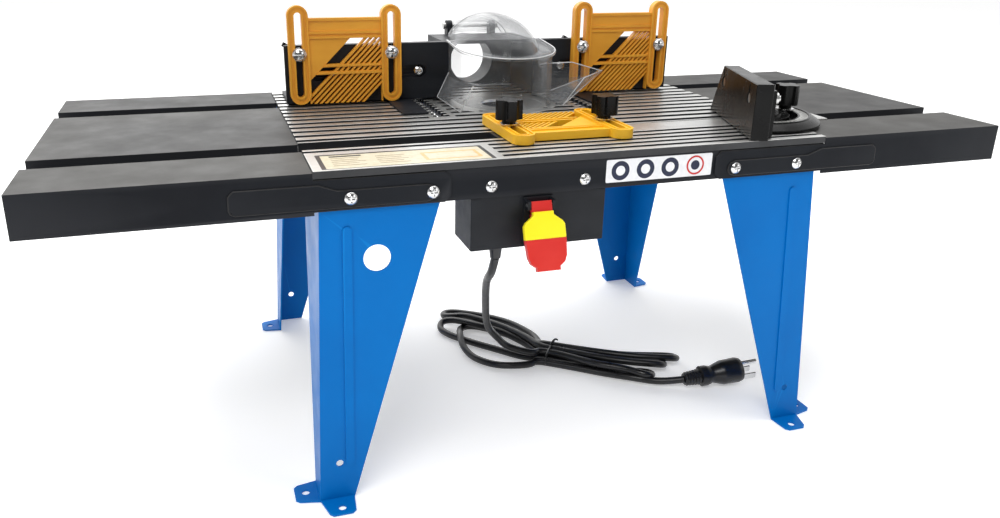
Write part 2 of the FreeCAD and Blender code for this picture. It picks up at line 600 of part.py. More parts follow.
def make_fence_body():
    wall_front = from_front(size["fence_face_front"] + size["face_thick"] + 0.3)
    wall_back = wall_front + size["wall_thick"]
    base_low = size["top_level"] + 0.3
    base_high = base_low + 3.5
    base_back = from_front(size["fence_base_back"])
    left_end, right_end = 2 - size["left_face_outer"], size["right_face_outer"] - 2
    half = size["hood_half"]
    wall = box(left_end, wall_front, base_low, right_end, wall_back, size["fence_top"])
    base = box(left_end, wall_front, base_low, right_end, base_back, base_high)
    feet = []
    for side in (-1, 1):
        outer, inner = side * 113, side * 88
        feet.append(box(min(outer, inner), from_front(175), base_low, max(outer, inner),
                        wall_front + 1, base_low + 1.6))
        for x in (56, 146):
            points = [Vector(0, wall_back - 1, base_high - 1), Vector(0, base_back - 4, base_high - 1),
                      Vector(0, wall_back - 1, size["fence_top"] - 6)]
            gusset = Part.Face(Part.makePolygon(points + points[:1])).extrude(Vector(3, 0, 0))
            gusset.translate(Vector(side * x - 1.5, 0, 0))
            feet.append(gusset)
    hood_back = from_front(size["hood_back"])
    hood = box(-half, wall_back - 1, base_low, half, hood_back, size["fence_top"] - 1)
    port_level = size["port_level"]
    port = rod(0, hood_back - 1, port_level, size["port_radius"], size["port_long"] + 1, Vector(0, 1, 0))
    thin = size["hood_wall"]
    hollow = box(-half + thin, wall_front - 1, base_low - 1, half - thin, hood_back - thin,
                 size["fence_top"] - 1 - thin)
    bore = rod(0, hood_back - 10, port_level, size["port_bore_radius"], size["port_long"] + 20, Vector(0, 1, 0))
    cuts = [hollow, bore]
    # lugs that carry the guard's hinge pin
    lugs = []
    for x in (-28, 22):
        lug = box(x, GUARD_PIN_Y - 6, size["fence_top"] - 2, x + 6, GUARD_PIN_Y + 6, GUARD_PIN_Z)
        lugs += [lug, rod(x, GUARD_PIN_Y, GUARD_PIN_Z, 6, 6, Vector(1, 0, 0))]
    cuts.append(rod(-40, GUARD_PIN_Y, GUARD_PIN_Z, 2.0, 80, Vector(1, 0, 0)))
    for side in (-1, 1):
        # screws that hold each face, and slots for the feather board bolts that travel with it
        for x in (79, 165):
            cuts.append(rod(side * x, wall_front - 1, 308, 2.6, 6, Vector(0, 1, 0)))
        board_x = size["left_board_x"] if side < 0 else size["right_board_x"]
        for offset in (-size["rail_x"], size["rail_x"]):
            x = board_x + offset
            near = min(x, x - side * FACE_TRAVEL)
            far = max(x, x - side * FACE_TRAVEL)
            level = size["feather_bolt_level"]
            cuts.append(box(near - 3.4, wall_front - 1, level - 3.4, far + 3.4, wall_back + 1, level + 3.4))
        cuts.append(rod(side * size["fence_slot_x"], FENCE_BOLT_Y, base_low - 1, 3.05, 8))
    keep("fence_body", join([wall, base, hood, port] + feet + lugs).cut(Part.makeCompound(cuts)))


def make_fence_face(name, side):
    body = new_body(name)
    front = "-(Sizes.fence_face_front - Sizes.table_depth / 2)"
    face = new_sketch(body, "XZ", front)
    inner, outer = ("", "Sizes.right_face_outer") if side > 0 else ("-", "-Sizes.left_face_outer")
    rectangle(face, inner + "Sizes.face_inner", "Sizes.face_low", outer, "Sizes.fence_top")
    pad(body, face, "Sizes.face_thick", reverse=True)
    slots = new_sketch(body, "XZ", front)
    recess = new_sketch(body, "XZ", front)
    for x in (79, 165):
        outer_end = side * (x + FACE_TRAVEL + 0.5)
        stadium(slots, side * (x - 1.0), 308, outer_end, 308, 3.0)
        stadium(recess, side * (x - 1.0), 308, outer_end, 308, 6.4)
    board_x = size["left_board_x"] if side < 0 else size["right_board_x"]
    for offset in (-size["rail_x"], size["rail_x"]):
        circle(slots, board_x + offset, "Sizes.feather_bolt_level", 3.05)
    pocket(body, slots)
    pocket(body, recess, 3.4)


def make_face_screws():
    wall_front = from_front(size["fence_face_front"] + size["face_thick"] + 0.3)
    seat = from_front(size["fence_face_front"]) + 3.1
    screws, nuts = [], []
    for side in (-1, 1):
        for x in (79, 165):
            length = wall_front + size["wall_thick"] + 7 - seat
            screws.append(pan_screw(side * x, seat, 308, length, -1, 5.4, 2.55))
            nut_y = wall_front + size["wall_thick"]
            nuts.append(hex_nut(side * x, nut_y, 308, 8.5, 4.5, 2.55))
    keep("face_screws", Part.makeCompound(screws))
    keep("face_nuts", Part.makeCompound(nuts))


def lobed_knob(radius, high, collar_radius, collar_high, bore):
    """Four-lobed hand knob standing on its collar, axis along +Z, collar's foot at zero."""
    grip = Part.makeCylinder(radius, high, Vector(0, 0, collar_high))
    for i in range(4):
        angle = math.radians(45 + 90 * i)
        reach = radius * 1.32
        hollow = Part.makeCylinder(radius * 0.62, high + 2,
                                   Vector(reach * math.cos(angle), reach * math.sin(angle), collar_high - 1))
        grip = grip.cut(hollow)
    knob = join([grip, Part.makeCylinder(collar_radius, collar_high + 1)])
    return knob.cut(Part.makeCylinder(bore, collar_high + high * 0.6, Vector(0, 0, -1)))


def make_fence_clamps():
    base_high = size["top_level"] + 0.3 + 3.5
    bolts = []
    for side, word in ((-1, "left"), (1, "right")):
        x = side * size["fence_slot_x"]
        under = size["top_level"] - size["top_thick"]
        head = box(x - 8, FENCE_BOLT_Y - 5, under - 4.3, x + 8, FENCE_BOLT_Y + 5, under - 0.3)
        bolts.append(join([head, rod(x, FENCE_BOLT_Y, under - 1, 2.95, 24)]))
        bolts.append(join([rod(x, FENCE_BOLT_Y, base_high, 8, 1.2)]).cut(
            rod(x, FENCE_BOLT_Y, base_high - 1, 3.1, 4)))
        knob = lobed_knob(12, 14, 7, 5, 3.0)
        keep(word + "_fence_knob", knob,
             Placement(Vector(x, FENCE_BOLT_Y, base_high + 1.5), Rotation(Vector(0, 0, 1), 20 * side)))
    keep("fence_bolts", Part.makeCompound(bolts))


# ---------------------------------------------------------------- feather boards

def feather_board_shape():
    """Feather board in its own frame: X across, Z along the rails, front face towards -Y."""
    thick, web = size["rail_thick"], size["web_thick"]
    long, rail_x, radius = size["board_long"], size["rail_x"], size["rail_radius"]

    def plate(points, back, front):
        corners = [Vector(x, -back, z) for x, z in points]
        return Part.Face(Part.makePolygon(corners + corners[:1])).extrude(Vector(0, back - front, 0))

    def rounded(x, low, high, r, back, front):
        middle = box(x - r, -front, low + r, x + r, -back, high - r)
        caps = [rod(x, -front, z, r, front - back, Vector(0, 1, 0)) for z in (low + r, high - r)]
        return join([middle] + caps)

    inner = rail_x - radius + 1
    solids = [plate([(-inner, 0), (inner, 0), (inner, 83), (-inner, 83)], 0, web)]
    for low, high in ((80.2, 83), (67.8, 70.2), (63.4, 65.6)):
        solids.append(plate([(-inner, low), (inner, low), (inner, high), (-inner, high)], 0, web + 1.4))
    for low, high in ((36.0, 38.4), (28.6, 31.0)):
        solids.append(plate([(low - 58, low), (inner, low), (inner, high), (high - 58, high)], 0, web + 1.0))
    for x in (-rail_x, rail_x):
        solids.append(rounded(x, 0, long, radius, 0, thick))
    board = join(solids)

    cuts = []
    pitch, gap = size["feather_pitch"], size["feather_gap"]
    slope_start = -43.5
    # gaps between the feathers, broken where the cross ribs tie the feathers together
    first_gap = slope_start + pitch - gap
    edge = rail_x - radius
    for i in range(18):
        left = first_gap + pitch * i
        for low, high in ((-2, 28.6), (31.6, 35.4), (38.4, 63.4)):
            span = [(left + low, low), (left + gap + low, low), (left + gap + high, high), (left + high, high)]
            if min(x for x, _ in span) < edge - 1 and max(x for x, _ in span) > -edge + 1:
                cuts.append(plate(span, -1, web + 2))
    # wide diagonal window beside the feathers
    for low, high in ((6, 28.6), (31.6, 35.4), (38.4, 63.4)):
        cuts.append(plate([(low - 58.5, low), (low - 44, low), (high - 44, high), (high - 58.5, high)],
                          -1, web + 2))
    clear = box(-edge, -thick - 1, -3, edge, 1, 90)
    cuts = [cut.common(clear) for cut in cuts]
    cuts.append(plate([(19, -1), (edge, 15.5), (edge, -1)], -1, web + 2))
    cuts = [cut for cut in cuts if cut.Volume > 0.01]
    for x in (-rail_x, rail_x):
        cuts.append(rounded(x, size["board_slot_low"] - 3.5, size["board_slot_high"] + 3.5,
                            size["rail_slot_radius"], -1, thick + 1))
        ring = rounded(x, 1.8, long - 1.8, radius - 1.8, thick - 1.2, thick + 1)
        cuts.append(ring.cut(rounded(x, size["board_slot_low"] - 5.5, size["board_slot_high"] + 5.5,
                                     size["rail_slot_radius"] + 1.9, thick - 2, thick + 2)))
    board = board.cut(Part.makeCompound(cuts))
    return max(board.Solids, key=lambda solid: solid.Volume)


def make_feather_boards(shape):
    plane = from_front(size["fence_face_front"]) - 0.3
    boards = (("left", size["left_board_x"]), ("right", size["right_board_x"]))
    for word, x in boards:
        keep(word + "_feather_board", shape, Placement(Vector(x, plane, size["board_low"]), Rotation()))
        bolts = []
        for offset, place in ((-size["rail_x"], "outer"), (size["rail_x"], "inner")):
            bolt_x = x + offset
            level = size["feather_bolt_level"]
            seat = plane - size["rail_thick"]
            washer = rod(bolt_x, seat - 1.5, level, 6.6, 1.2, Vector(0, 1, 0))
            crown = Part.makeSphere(7.4, Vector(bolt_x, seat + 2.3, level))
            head = rod(bolt_x, seat - 5.3, level, 6.0, 4.0, Vector(0, 1, 0)).common(crown)
            shank = rod(bolt_x, seat - 1.6, level, 2.95, 38, Vector(0, 1, 0))
            bolts.append(join([washer, head, shank]))
            hub = rod(0, 0, 0, 6.5, 8, Vector(0, 1, 0))
            wings = []
            for turn in (150, 330):
                wing = box(4, 1.5, -2.2, 15.6, 6.5, 2.2)
                wing.rotate(Vector(0, 0, 0), Vector(0, -1, 0), turn)
                wings.append(wing)
            nut = join([hub] + wings).cut(rod(0, -1, 0, 3.0, 12, Vector(0, 1, 0)))
            nut_y = from_front(size["fence_face_front"] + size["face_thick"] + 0.3) + size["wall_thick"] + 0.4
            if word == "right":
                place = "inner" if place == "outer" else "outer"
            keep("%s_%s_wing_nut" % (word, place), nut, Placement(Vector(bolt_x, nut_y, level), Rotation()))
        keep(word + "_feather_bolts", Part.makeCompound(bolts))


def make_flat_board(shape):
    """Third feather board, lying on the top and clamped to a bar in the mitre slot."""
    level = size["flat_board_level"]
    x = size["flat_board_x"]
    front = from_front(size["flat_board_front"])
    turned = Placement(Vector(x, front + size["board_long"], level),
                       Rotation(Vector(-1, 0, 0), Vector(0, 0, -1), Vector(0, -1, 0), "ZYX"))
    slot_y = from_front(size["slot_from_front"])
    keep("flat_feather_board", shape, turned)

    body = new_body("slot_bar")
    base = "Sizes.top_level - Sizes.slot_deep + 0.4"
    profile = new_sketch(body, "XY", base)
    half = "Sizes.slot_bar_long / 2"
    middle = "(Sizes.slot_from_front - Sizes.table_depth / 2)"
    rectangle(profile, "Sizes.flat_board_x - " + half, middle + " - Sizes.slot_wide / 2 + 0.3",
              "Sizes.flat_board_x + " + half, middle + " + Sizes.slot_wide / 2 - 0.3")
    pad(body, profile, 8.4)
    bores = new_sketch(body, "XY", base)
    for offset in ("-", "+"):
        circle(bores, "Sizes.flat_board_x %s Sizes.rail_x" % offset, middle, 3.0)
    pocket(body, bores)

    bolts = []
    for side, word in ((-1, "left"), (1, "right")):
        bolt_x = x + side * size["rail_x"]
        top = level + size["rail_thick"]
        bar_low = size["top_level"] - size["slot_deep"] + 0.4
        stud = rod(bolt_x, slot_y, bar_low + 0.2, 2.95, top + 11 - bar_low)
        washer = rod(bolt_x, slot_y, top + 0.3, 7.5, 1.2)
        bolts.append(join([stud, washer]))
        knob = lobed_knob(11.8, 17, 6, 3, 3.0)
        keep(word + "_slot_knob", knob,
             Placement(Vector(bolt_x, slot_y, top + 1.8), Rotation(Vector(0, 0, 1), 20 + 25 * side)))
    keep("slot_bolts", Part.makeCompound(bolts))


# ---------------------------------------------------------------- mitre gauge

def make_mitre_gauge():
    body = new_body("mitre_bar")
    base = "Sizes.top_level - Sizes.slot_deep + 0.3"
    profile = new_sketch(body, "XY", base)
    middle = "(Sizes.slot_from_front - Sizes.table_depth / 2)"
    rectangle(profile, "Sizes.mitre_bar_left", middle + " - Sizes.mitre_bar_wide / 2",
              "Sizes.mitre_bar_right", middle + " + Sizes.mitre_bar_wide / 2")
    pad(body, profile, "Sizes.mitre_bar_high")
    slot_y = from_front(size["slot_from_front"])
    bar_top = size["top_level"] - size["slot_deep"] + 0.3 + size["mitre_bar_high"]
    bores = new_sketch(body, "XY", base)
    circle(bores, "Sizes.mitre_pivot_x", middle, 3.0)
    circle(bores, "Sizes.mitre_pivot_x + Sizes.mitre_stud_reach", middle, 3.0)
    pocket(body, bores)

    # the head, its face and their screws share one frame whose origin is the pivot
    head_low = size["top_level"] + 0.5
    place = Placement(Vector(size["mitre_pivot_x"], slot_y, head_low),
                      Rotation(Vector(0, 0, 1), size["mitre_turn"]))
    radius, thick = size["protractor_radius"], size["protractor_thick"]
    back = -size["mitre_face_back"]
    crown = radius - 7
    disc = Part.makeCylinder(radius, 2.5).fuse(Part.makeCone(radius, crown, thick - 2.5, Vector(0, 0, 2.5)))
    keep_side = box(back, -radius - 1, -1, radius + 1, radius + 1, thick + 3)
    disc = disc.common(keep_side)
    rim = Part.makeCylinder(crown - 2, 1.0, Vector(0, 0, thick)).cut(
        Part.makeCylinder(crown - 4, 4, Vector(0, 0, thick - 1)))
    middle_ring = Part.makeCylinder(29, 1.6, Vector(0, 0, thick)).cut(
        Part.makeCylinder(26, 4, Vector(0, 0, thick - 1)))
    hub = Part.makeCylinder(13, 5, Vector(0, 0, thick - 0.5)).common(
        box(back, -14, 0, 14, 14, thick + 5))
    screw_spots, screw_level = (12, -70), 33
    flange = box(back, screw_spots[1] - 10, 0, back + 6, screw_spots[0] + 12, screw_level + 8)
    ribs = []
    for y in (-14, 14):
        points = [Vector(back + 5, y - 2, thick - 1), Vector(back + 29, y - 2, thick - 1),
                  Vector(back + 5, y - 2, 28)]
        ribs.append(Part.Face(Part.makePolygon(points + points[:1])).extrude(Vector(0, 4, 0)))
    rings = [part.common(keep_side.copy()) for part in (rim, middle_ring)]
    head = join([disc, hub, flange] + rings + ribs)
    # curved slot that the clamp's stud runs in, 60 degrees each way from square
    reach, stud = size["mitre_stud_reach"], 3.6
    arc_slot = Part.makeCylinder(reach + stud, 30, Vector(0, 0, -5)).cut(
        Part.makeCylinder(reach - stud, 30, Vector(0, 0, -5)))
    wedge = [Vector(0, 0, -5)]
    for turn in (-54, -27, 0, 27, 54):
        wedge.append(Vector(90 * math.cos(math.radians(turn)), 90 * math.sin(math.radians(turn)), -5))
    wedge = Part.Face(Part.makePolygon(wedge + wedge[:1])).extrude(Vector(0, 0, 30))
    arc_slot = arc_slot.common(wedge)
    arc_slot = arc_slot.fuse([rod(reach * math.cos(math.radians(turn)), reach * math.sin(math.radians(turn)),
                                  -5, stud, 30) for turn in (-54, 54)])
    head = head.cut(arc_slot).cut(Part.makeCylinder(3.03, 40, Vector(0, 0, -5)))
    head = head.cut(Part.makeCylinder(6.0, 40, Vector(0, 0, thick + 4.5)))
    for y in screw_spots:
        head = head.cut(rod(back - 2, y, screw_level, 2.6, 12, Vector(1, 0, 0)))
    keep("mitre_head", head, place)

    # upright face with one sloping end, and two open slots that its screws sit in
    wide, high = size["mitre_face_thick"], size["mitre_face_high"]
    near, far, slope = size["mitre_face_near"], size["mitre_face_far"], size["mitre_face_slope"]
    side_view = [Vector(back - wide, near, -0.2), Vector(back - wide, far, -0.2),
                 Vector(back - wide, far - slope, high), Vector(back - wide, near, high)]
    face = Part.Face(Part.makePolygon(side_view + side_view[:1])).extrude(Vector(wide, 0, 0))
    face = face.makeFillet(1.2, [edge for edge in face.Edges if edge.Length > 40])
    for y in screw_spots:
        face = face.cut(rod(back - wide - 1, y, screw_level, 2.6, wide + 2, Vector(1, 0, 0)))
        face = face.cut(box(back - wide - 1, y - 1.3, screw_level, back + 1, y + 1.3, high - 3))
        face = face.cut(rod(back - wide - 1, y, screw_level, 4.6, 4.5, Vector(1, 0, 0)))
    keep("mitre_face", face, place)
    screws = []
    for y in screw_spots:
        screw = join([rod(back - wide + 0.9, y, screw_level, 4.3, 2.4, Vector(1, 0, 0)),
                      rod(back - wide + 3, y, screw_level, 2.55, wide + 9, Vector(1, 0, 0)),
                      rod(back + 6, y, screw_level, 5.0, 4, Vector(1, 0, 0))])
        screws.append(screw)
    keep("mitre_face_screws", Part.makeCompound(screws), place)

    pivot_top = head_low + thick + 4.5
    pivot = join([rod(size["mitre_pivot_x"], slot_y, bar_top - 6, 2.95, pivot_top - bar_top + 6.5),
                  rod(size["mitre_pivot_x"], slot_y, pivot_top + 0.3, 5.5, 3)])
    keep("mitre_pivot", pivot)
    stud_x = size["mitre_pivot_x"] + reach
    washer_low = head_low + thick + 0.3
    stud_rod = rod(stud_x, slot_y, bar_top - 6, 2.95, washer_low + 14 - bar_top + 6)
    keep("mitre_stud", join([stud_rod, rod(stud_x, slot_y, washer_low, 8.5, 1.4)]))
    keep("mitre_knob", lobed_knob(11.2, 19, 5.8, 3.5, 3.0),
         Placement(Vector(stud_x, slot_y, washer_low + 1.7), Rotation(Vector(0, 0, 1), 25)))


# ---------------------------------------------------------------- bit guard

def make_guard():
    radius, wall = size["guard_radius"], size["guard_wall"]
    centre = from_front(size["guard_centre"])
    back = from_front(size["fence_face_front"]) - 0.5
    low = size["guard_low"]
    dome_low = size["fence_top"] + 1.8
    front_rim = dome_low - 9.5

    def drum(r, z0, z1):
        round_front = rod(0, centre, z0, r, z1 - z0)
        return round_front.fuse(box(-r, centre, z0, r, back, z1)).removeSplitter()

    front = centre - radius - 8

    def above_rim(lowered):
        """Everything over the sloping rim plane, which runs level once it is past the fence."""
        side_view = [Vector(-130, front, front_rim - lowered), Vector(-130, back, dome_low - lowered),
                     Vector(-130, back + 130, dome_low - lowered), Vector(-130, back + 130, dome_low + 90),
                     Vector(-130, front, dome_low + 90)]
        return Part.Face(Part.makePolygon(side_view + side_view[:1])).extrude(Vector(260, 0, 0))

    def bubble(shrink):
        """Half ellipse turned about a fore-and-aft axis that runs a little below the rim."""
        half_long, half_round, sunk = 86 - shrink, 45 - shrink, 19
        centre_point = Vector(0, from_front(250), dome_low - sunk)
        ellipse = Part.Ellipse(centre_point + Vector(0, half_long, 0),
                               centre_point + Vector(0, 0, half_round), centre_point)
        arch = Part.ArcOfEllipse(ellipse, 0, math.pi).toShape()
        base = Part.LineSegment(arch.Vertexes[-1].Point, arch.Vertexes[0].Point).toShape()
        profile = Part.Face(Part.Wire([arch, base]))
        return profile.revolve(centre_point, Vector(0, 1, 0), 360)

    def plate(corners, thickness):
        points = [Vector(x, from_front(y), z) for x, y, z in corners]
        return Part.Face(Part.makePolygon(points + points[:1])).extrude(thickness)

    skirt = drum(radius, low, dome_low).cut(above_rim(0.4))
    lip = drum(radius + 3, low, dome_low).common(above_rim(wall)).cut(above_rim(0))
    dome = bubble(0).common(above_rim(1.3))
    barrel = rod(-21.5, GUARD_PIN_Y, GUARD_PIN_Z, 5.5, 43, Vector(1, 0, 0))
    arm = box(-21.5, GUARD_PIN_Y - 16, GUARD_PIN_Z - 2, 21.5, GUARD_PIN_Y, GUARD_PIN_Z + 5)
    # left skirt that flares out towards the table, closed in front and on top
    plates = [
        plate([(-48, 161, 306), (-61, 161, 280), (-61, 244.5, 280), (-48, 244.5, 306)], Vector(wall, 0, 0)),
        plate([(-61, 161, 280), (-48, 161, 306), (-12, 161, 306), (-12, 161, 280)], Vector(0, wall, 0)),
        plate([(-47.5, 161, 304), (-12, 161, 304), (-12, 209, 304), (-47.5, 209, 304)], Vector(0, 0, wall)),
    ]
    # right scoop that opens outwards and upwards
    plates += [
        plate([(30, 170, 280), (49, 170, 280), (72, 170, 308), (30, 170, 308)], Vector(0, wall, 0)),
        plate([(49, 170, 280), (72, 170, 308), (119, 226, 304)], Vector(-wall, wall, 0)),
        plate([(46.5, 226, 281), (119, 226, 304), (82, 226, 315), (46.5, 226, 315)], Vector(0, wall, 0)),
        plate([(49, 170, 280), (119, 226, 304), (46.5, 228, 281)], Vector(0, 0, wall)),
    ]
    guard = skirt
    for part in [lip, dome, barrel, arm] + plates:
        guard = guard.fuse(part)
    guard = guard.cut(drum(radius - wall, low - 5, dome_low).cut(above_rim(wall)))
    guard = guard.cut(bubble(wall))
    guard = guard.cut(rod(-30, GUARD_PIN_Y, GUARD_PIN_Z, 2.03, 60, Vector(1, 0, 0)))
    keep("bit_guard", max(guard.Solids, key=lambda solid: solid.Volume))
    pin = join([rod(-30, GUARD_PIN_Y, GUARD_PIN_Z, 1.95, 60, Vector(1, 0, 0)),
                rod(-31.5, GUARD_PIN_Y, GUARD_PIN_Z, 3.5, 3, Vector(1, 0, 0)),
                rod(28.5, GUARD_PIN_Y, GUARD_PIN_Z, 3.5, 3, Vector(1, 0, 0))])
    keep("guard_pin", pin)


# ---------------------------------------------------------------- mains cord

CORD_EXIT = (-67.0, -132.0)
BOX_SCREWS = (-83.7, -3.5)
FACE_TRAVEL = 18.0
FENCE_BOLT_Y = from_front(272)
GUARD_PIN_Y = from_front(324)
GUARD_PIN_Z = 344.0
HANK_HIGH = 22.0
DROP_ROUTE = [(-67.0, -132.0, 181.0), (-68.0, -127.0, 165.0), (-64.0, -105.0, 151.0),
              (-57.5, -82.0, 134.0), (-50.0, -60.0, 112.0), (-42.0, -38.0, 88.0),
              (-34.0, -17.0, 63.0), (-25.0, -3.0, 45.0), (-14.0, 3.0, 32.0), (-4.0, 3.5, 20.0)]
TAIL_ROUTE = [(112.0, -80.0, 7.0), (126.0, -86.0, 5.0), (141.0, -94.0, 6.5), (155.0, -99.5, 9.5)]
PLUG_DIRECTION = (62.0, -6.0, 5.5)
HANK_OUTLINE = [(-54, 104), (-52, 80), (-46, 58), (-46, 36), (-42, 14), (-30, -4), (-14, -17), (20, -21),
                (40, -25), (60, -42), (82, -62), (104, -82), (128, -92), (142, -88), (152, -76), (180, -60),
                (181, -44), (150, -34), (98, -8), (64, 10), (54, 50), (42, 82), (24, 108), (4, 122),
                (-22, 138), (-38, 134), (-43, 120)]


def cord_tube(points, radius, label):
    """Round tube of straight runs and tangent arcs along a hand-set route."""
    corners = [Vector(*point) for point in points]
    edges, radii = [], []
    start = corners[0]
    for before, corner, after in zip(corners, corners[1:], corners[2:]):
        arriving = (corner - before).normalize()
        leaving = (after - corner).normalize()
        turn = arriving.getAngle(leaving)
        shorter = min((corner - before).Length, (after - corner).Length)
        cut_back = 0.45 * shorter
        radii.append(cut_back / math.tan(turn / 2))
        first = corner - arriving * cut_back
        last = corner + leaving * cut_back
        bisector = (leaving - arriving).normalize()
        centre_gap = radii[-1] / math.cos(turn / 2)
        middle = corner + bisector * (centre_gap - radii[-1])
        edges.append(Part.LineSegment(start, first).toShape())
        edges.append(Part.Arc(first, middle, last).toShape())
        start = last
    edges.append(Part.LineSegment(start, corners[-1]).toShape())
    path = Part.Wire(edges)
    heading = corners[1] - corners[0]
    section = Part.Wire([Part.makeCircle(radius, corners[0], heading)])
    tube = path.makePipeShell([section], True, False)
    expected = math.pi * radius ** 2 * path.Length
    print("%s: length %.0f, radii %s" % (label, path.Length, [round(r) for r in radii]))
    if abs(tube.Volume / expected - 1) > 0.01:
        raise RuntimeError("%s has the wrong volume" % label)
    return tube


def make_cord():
    exit_x, exit_y = CORD_EXIT
    radius = size["cord_radius"]
    relief_low = size["box_low"] - 20
    collar = join([rod(exit_x, exit_y, size["box_low"] - 2.5, 9, 2.4),
                   rod(exit_x, exit_y, size["box_low"] - 1, 5.9, 8),
                   Part.makeCone(4.6, 6.6, 18, Vector(exit_x, exit_y, relief_low))])
    keep("strain_relief", collar)
    keep("mains_cord", cord_tube(DROP_ROUTE, radius, "mains_cord"))
    keep("mains_cord_tail", cord_tube(TAIL_ROUTE, radius, "mains_cord_tail"))
    hank = [Vector(x, y, 0) for x, y in HANK_OUTLINE]
    keep("cord_hank", Part.Face(Part.makePolygon(hank + hank[:1])).extrude(Vector(0, 0, HANK_HIGH)))

    # plug: ribbed sleeve, waisted body and three prongs along one axis on the floor
    start = Vector(*TAIL_ROUTE[-1])
    axis = Vector(*PLUG_DIRECTION).normalize()
    body_end = 62
    outline = [(0, 0), (6.0, 0), (7.5, 17), (10.5, 18), (10.5, 24), (8.8, 30), (12.5, 42), (13.0, 58),
               (12.0, body_end), (0, body_end)]
    profile = [Vector(r, 0, along) for r, along in outline]
    plug = Part.Face(Part.makePolygon(profile + profile[:1])).revolve(Vector(0, 0, 0), Vector(0, 0, 1), 360)
    place = Placement(start, Rotation(Vector(0, 0, 1), axis))
    keep("mains_plug", plug, place)
    blade_end = body_end + 16
    prongs = [box(3.0, -6.8, body_end, 9.2, -5.2, blade_end), box(3.0, 5.2, body_end, 9.2, 6.8, blade_end),
              rod(-7, 0, body_end, 2.4, 18)]
    keep("plug_prongs", Part.makeCompound(prongs), place)


def make_all():
    make_table_top()
    make_insert_ring()
    make_wing("left_wing", -1)
    make_wing("right_wing", 1)
    make_apron("front_apron", -1)
    make_apron("rear_apron", 1)
    make_leg("left_front_leg", -1, -1, has_cord_hole=True)
    make_leg("right_front_leg", 1, -1, outwards=3.0)
    make_leg("left_rear_leg", -1, 1)
    make_leg("right_rear_leg", 1, 1, outwards=3.0)
    make_frame_screws()
    make_switch_box()
    make_box_screws()
    make_switch()
    make_fence_body()
    make_fence_face("left_fence_face", -1)
    make_fence_face("right_fence_face", 1)
    make_face_screws()
    make_fence_clamps()
    board = feather_board_shape()
    make_feather_boards(board)
    make_flat_board(board)
    make_mitre_gauge()
    make_guard()
    make_cord()


make_all()
doc.recompute()
for item in doc.Objects:
    if "Invalid" in item.State or "Error" in item.State:
        raise RuntimeError("%s failed: %s" % (item.Label, item.State))
os.makedirs("parts", exist_ok=True)
for node in nodes:
    shape = node.Shape
    if shape.isNull() or not shape.isValid() or not shape.Solids:
        raise RuntimeError("%s has no valid solid" % node.Label)
    box_of = shape.BoundBox
    print("%-26s solids %d  x %.1f..%.1f  y %.1f..%.1f  z %.1f..%.1f" % (
        node.Label, len(shape.Solids), box_of.XMin, box_of.XMax, box_of.YMin, box_of.YMax,
        box_of.ZMin, box_of.ZMax))
    shape.exportStep("parts/%s.step" % node.Label)
print("nodes", len(nodes))
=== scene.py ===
"""Looks of the benchtop router table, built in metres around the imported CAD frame."""

import json
import math
import random

import bmesh
import bpy
from mathutils import Matrix, Vector


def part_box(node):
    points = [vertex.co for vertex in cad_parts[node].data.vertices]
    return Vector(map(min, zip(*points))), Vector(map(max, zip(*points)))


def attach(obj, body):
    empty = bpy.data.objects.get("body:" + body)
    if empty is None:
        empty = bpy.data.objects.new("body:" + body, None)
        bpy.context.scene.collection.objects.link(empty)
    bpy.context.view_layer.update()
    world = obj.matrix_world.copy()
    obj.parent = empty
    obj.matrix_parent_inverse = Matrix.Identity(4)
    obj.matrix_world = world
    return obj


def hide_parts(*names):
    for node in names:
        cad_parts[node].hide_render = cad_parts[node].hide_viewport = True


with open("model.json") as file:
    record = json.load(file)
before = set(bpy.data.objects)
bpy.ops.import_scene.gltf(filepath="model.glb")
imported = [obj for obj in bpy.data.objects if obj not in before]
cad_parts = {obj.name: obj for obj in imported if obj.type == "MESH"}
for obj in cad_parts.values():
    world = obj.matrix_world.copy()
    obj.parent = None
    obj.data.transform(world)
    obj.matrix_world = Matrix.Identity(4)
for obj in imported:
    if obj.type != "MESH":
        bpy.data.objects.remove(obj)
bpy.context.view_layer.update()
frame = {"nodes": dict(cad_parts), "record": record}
nodes = frame["nodes"]
random.seed(7)
MM = 0.001


# ---------------------------------------------------------------- node material helpers

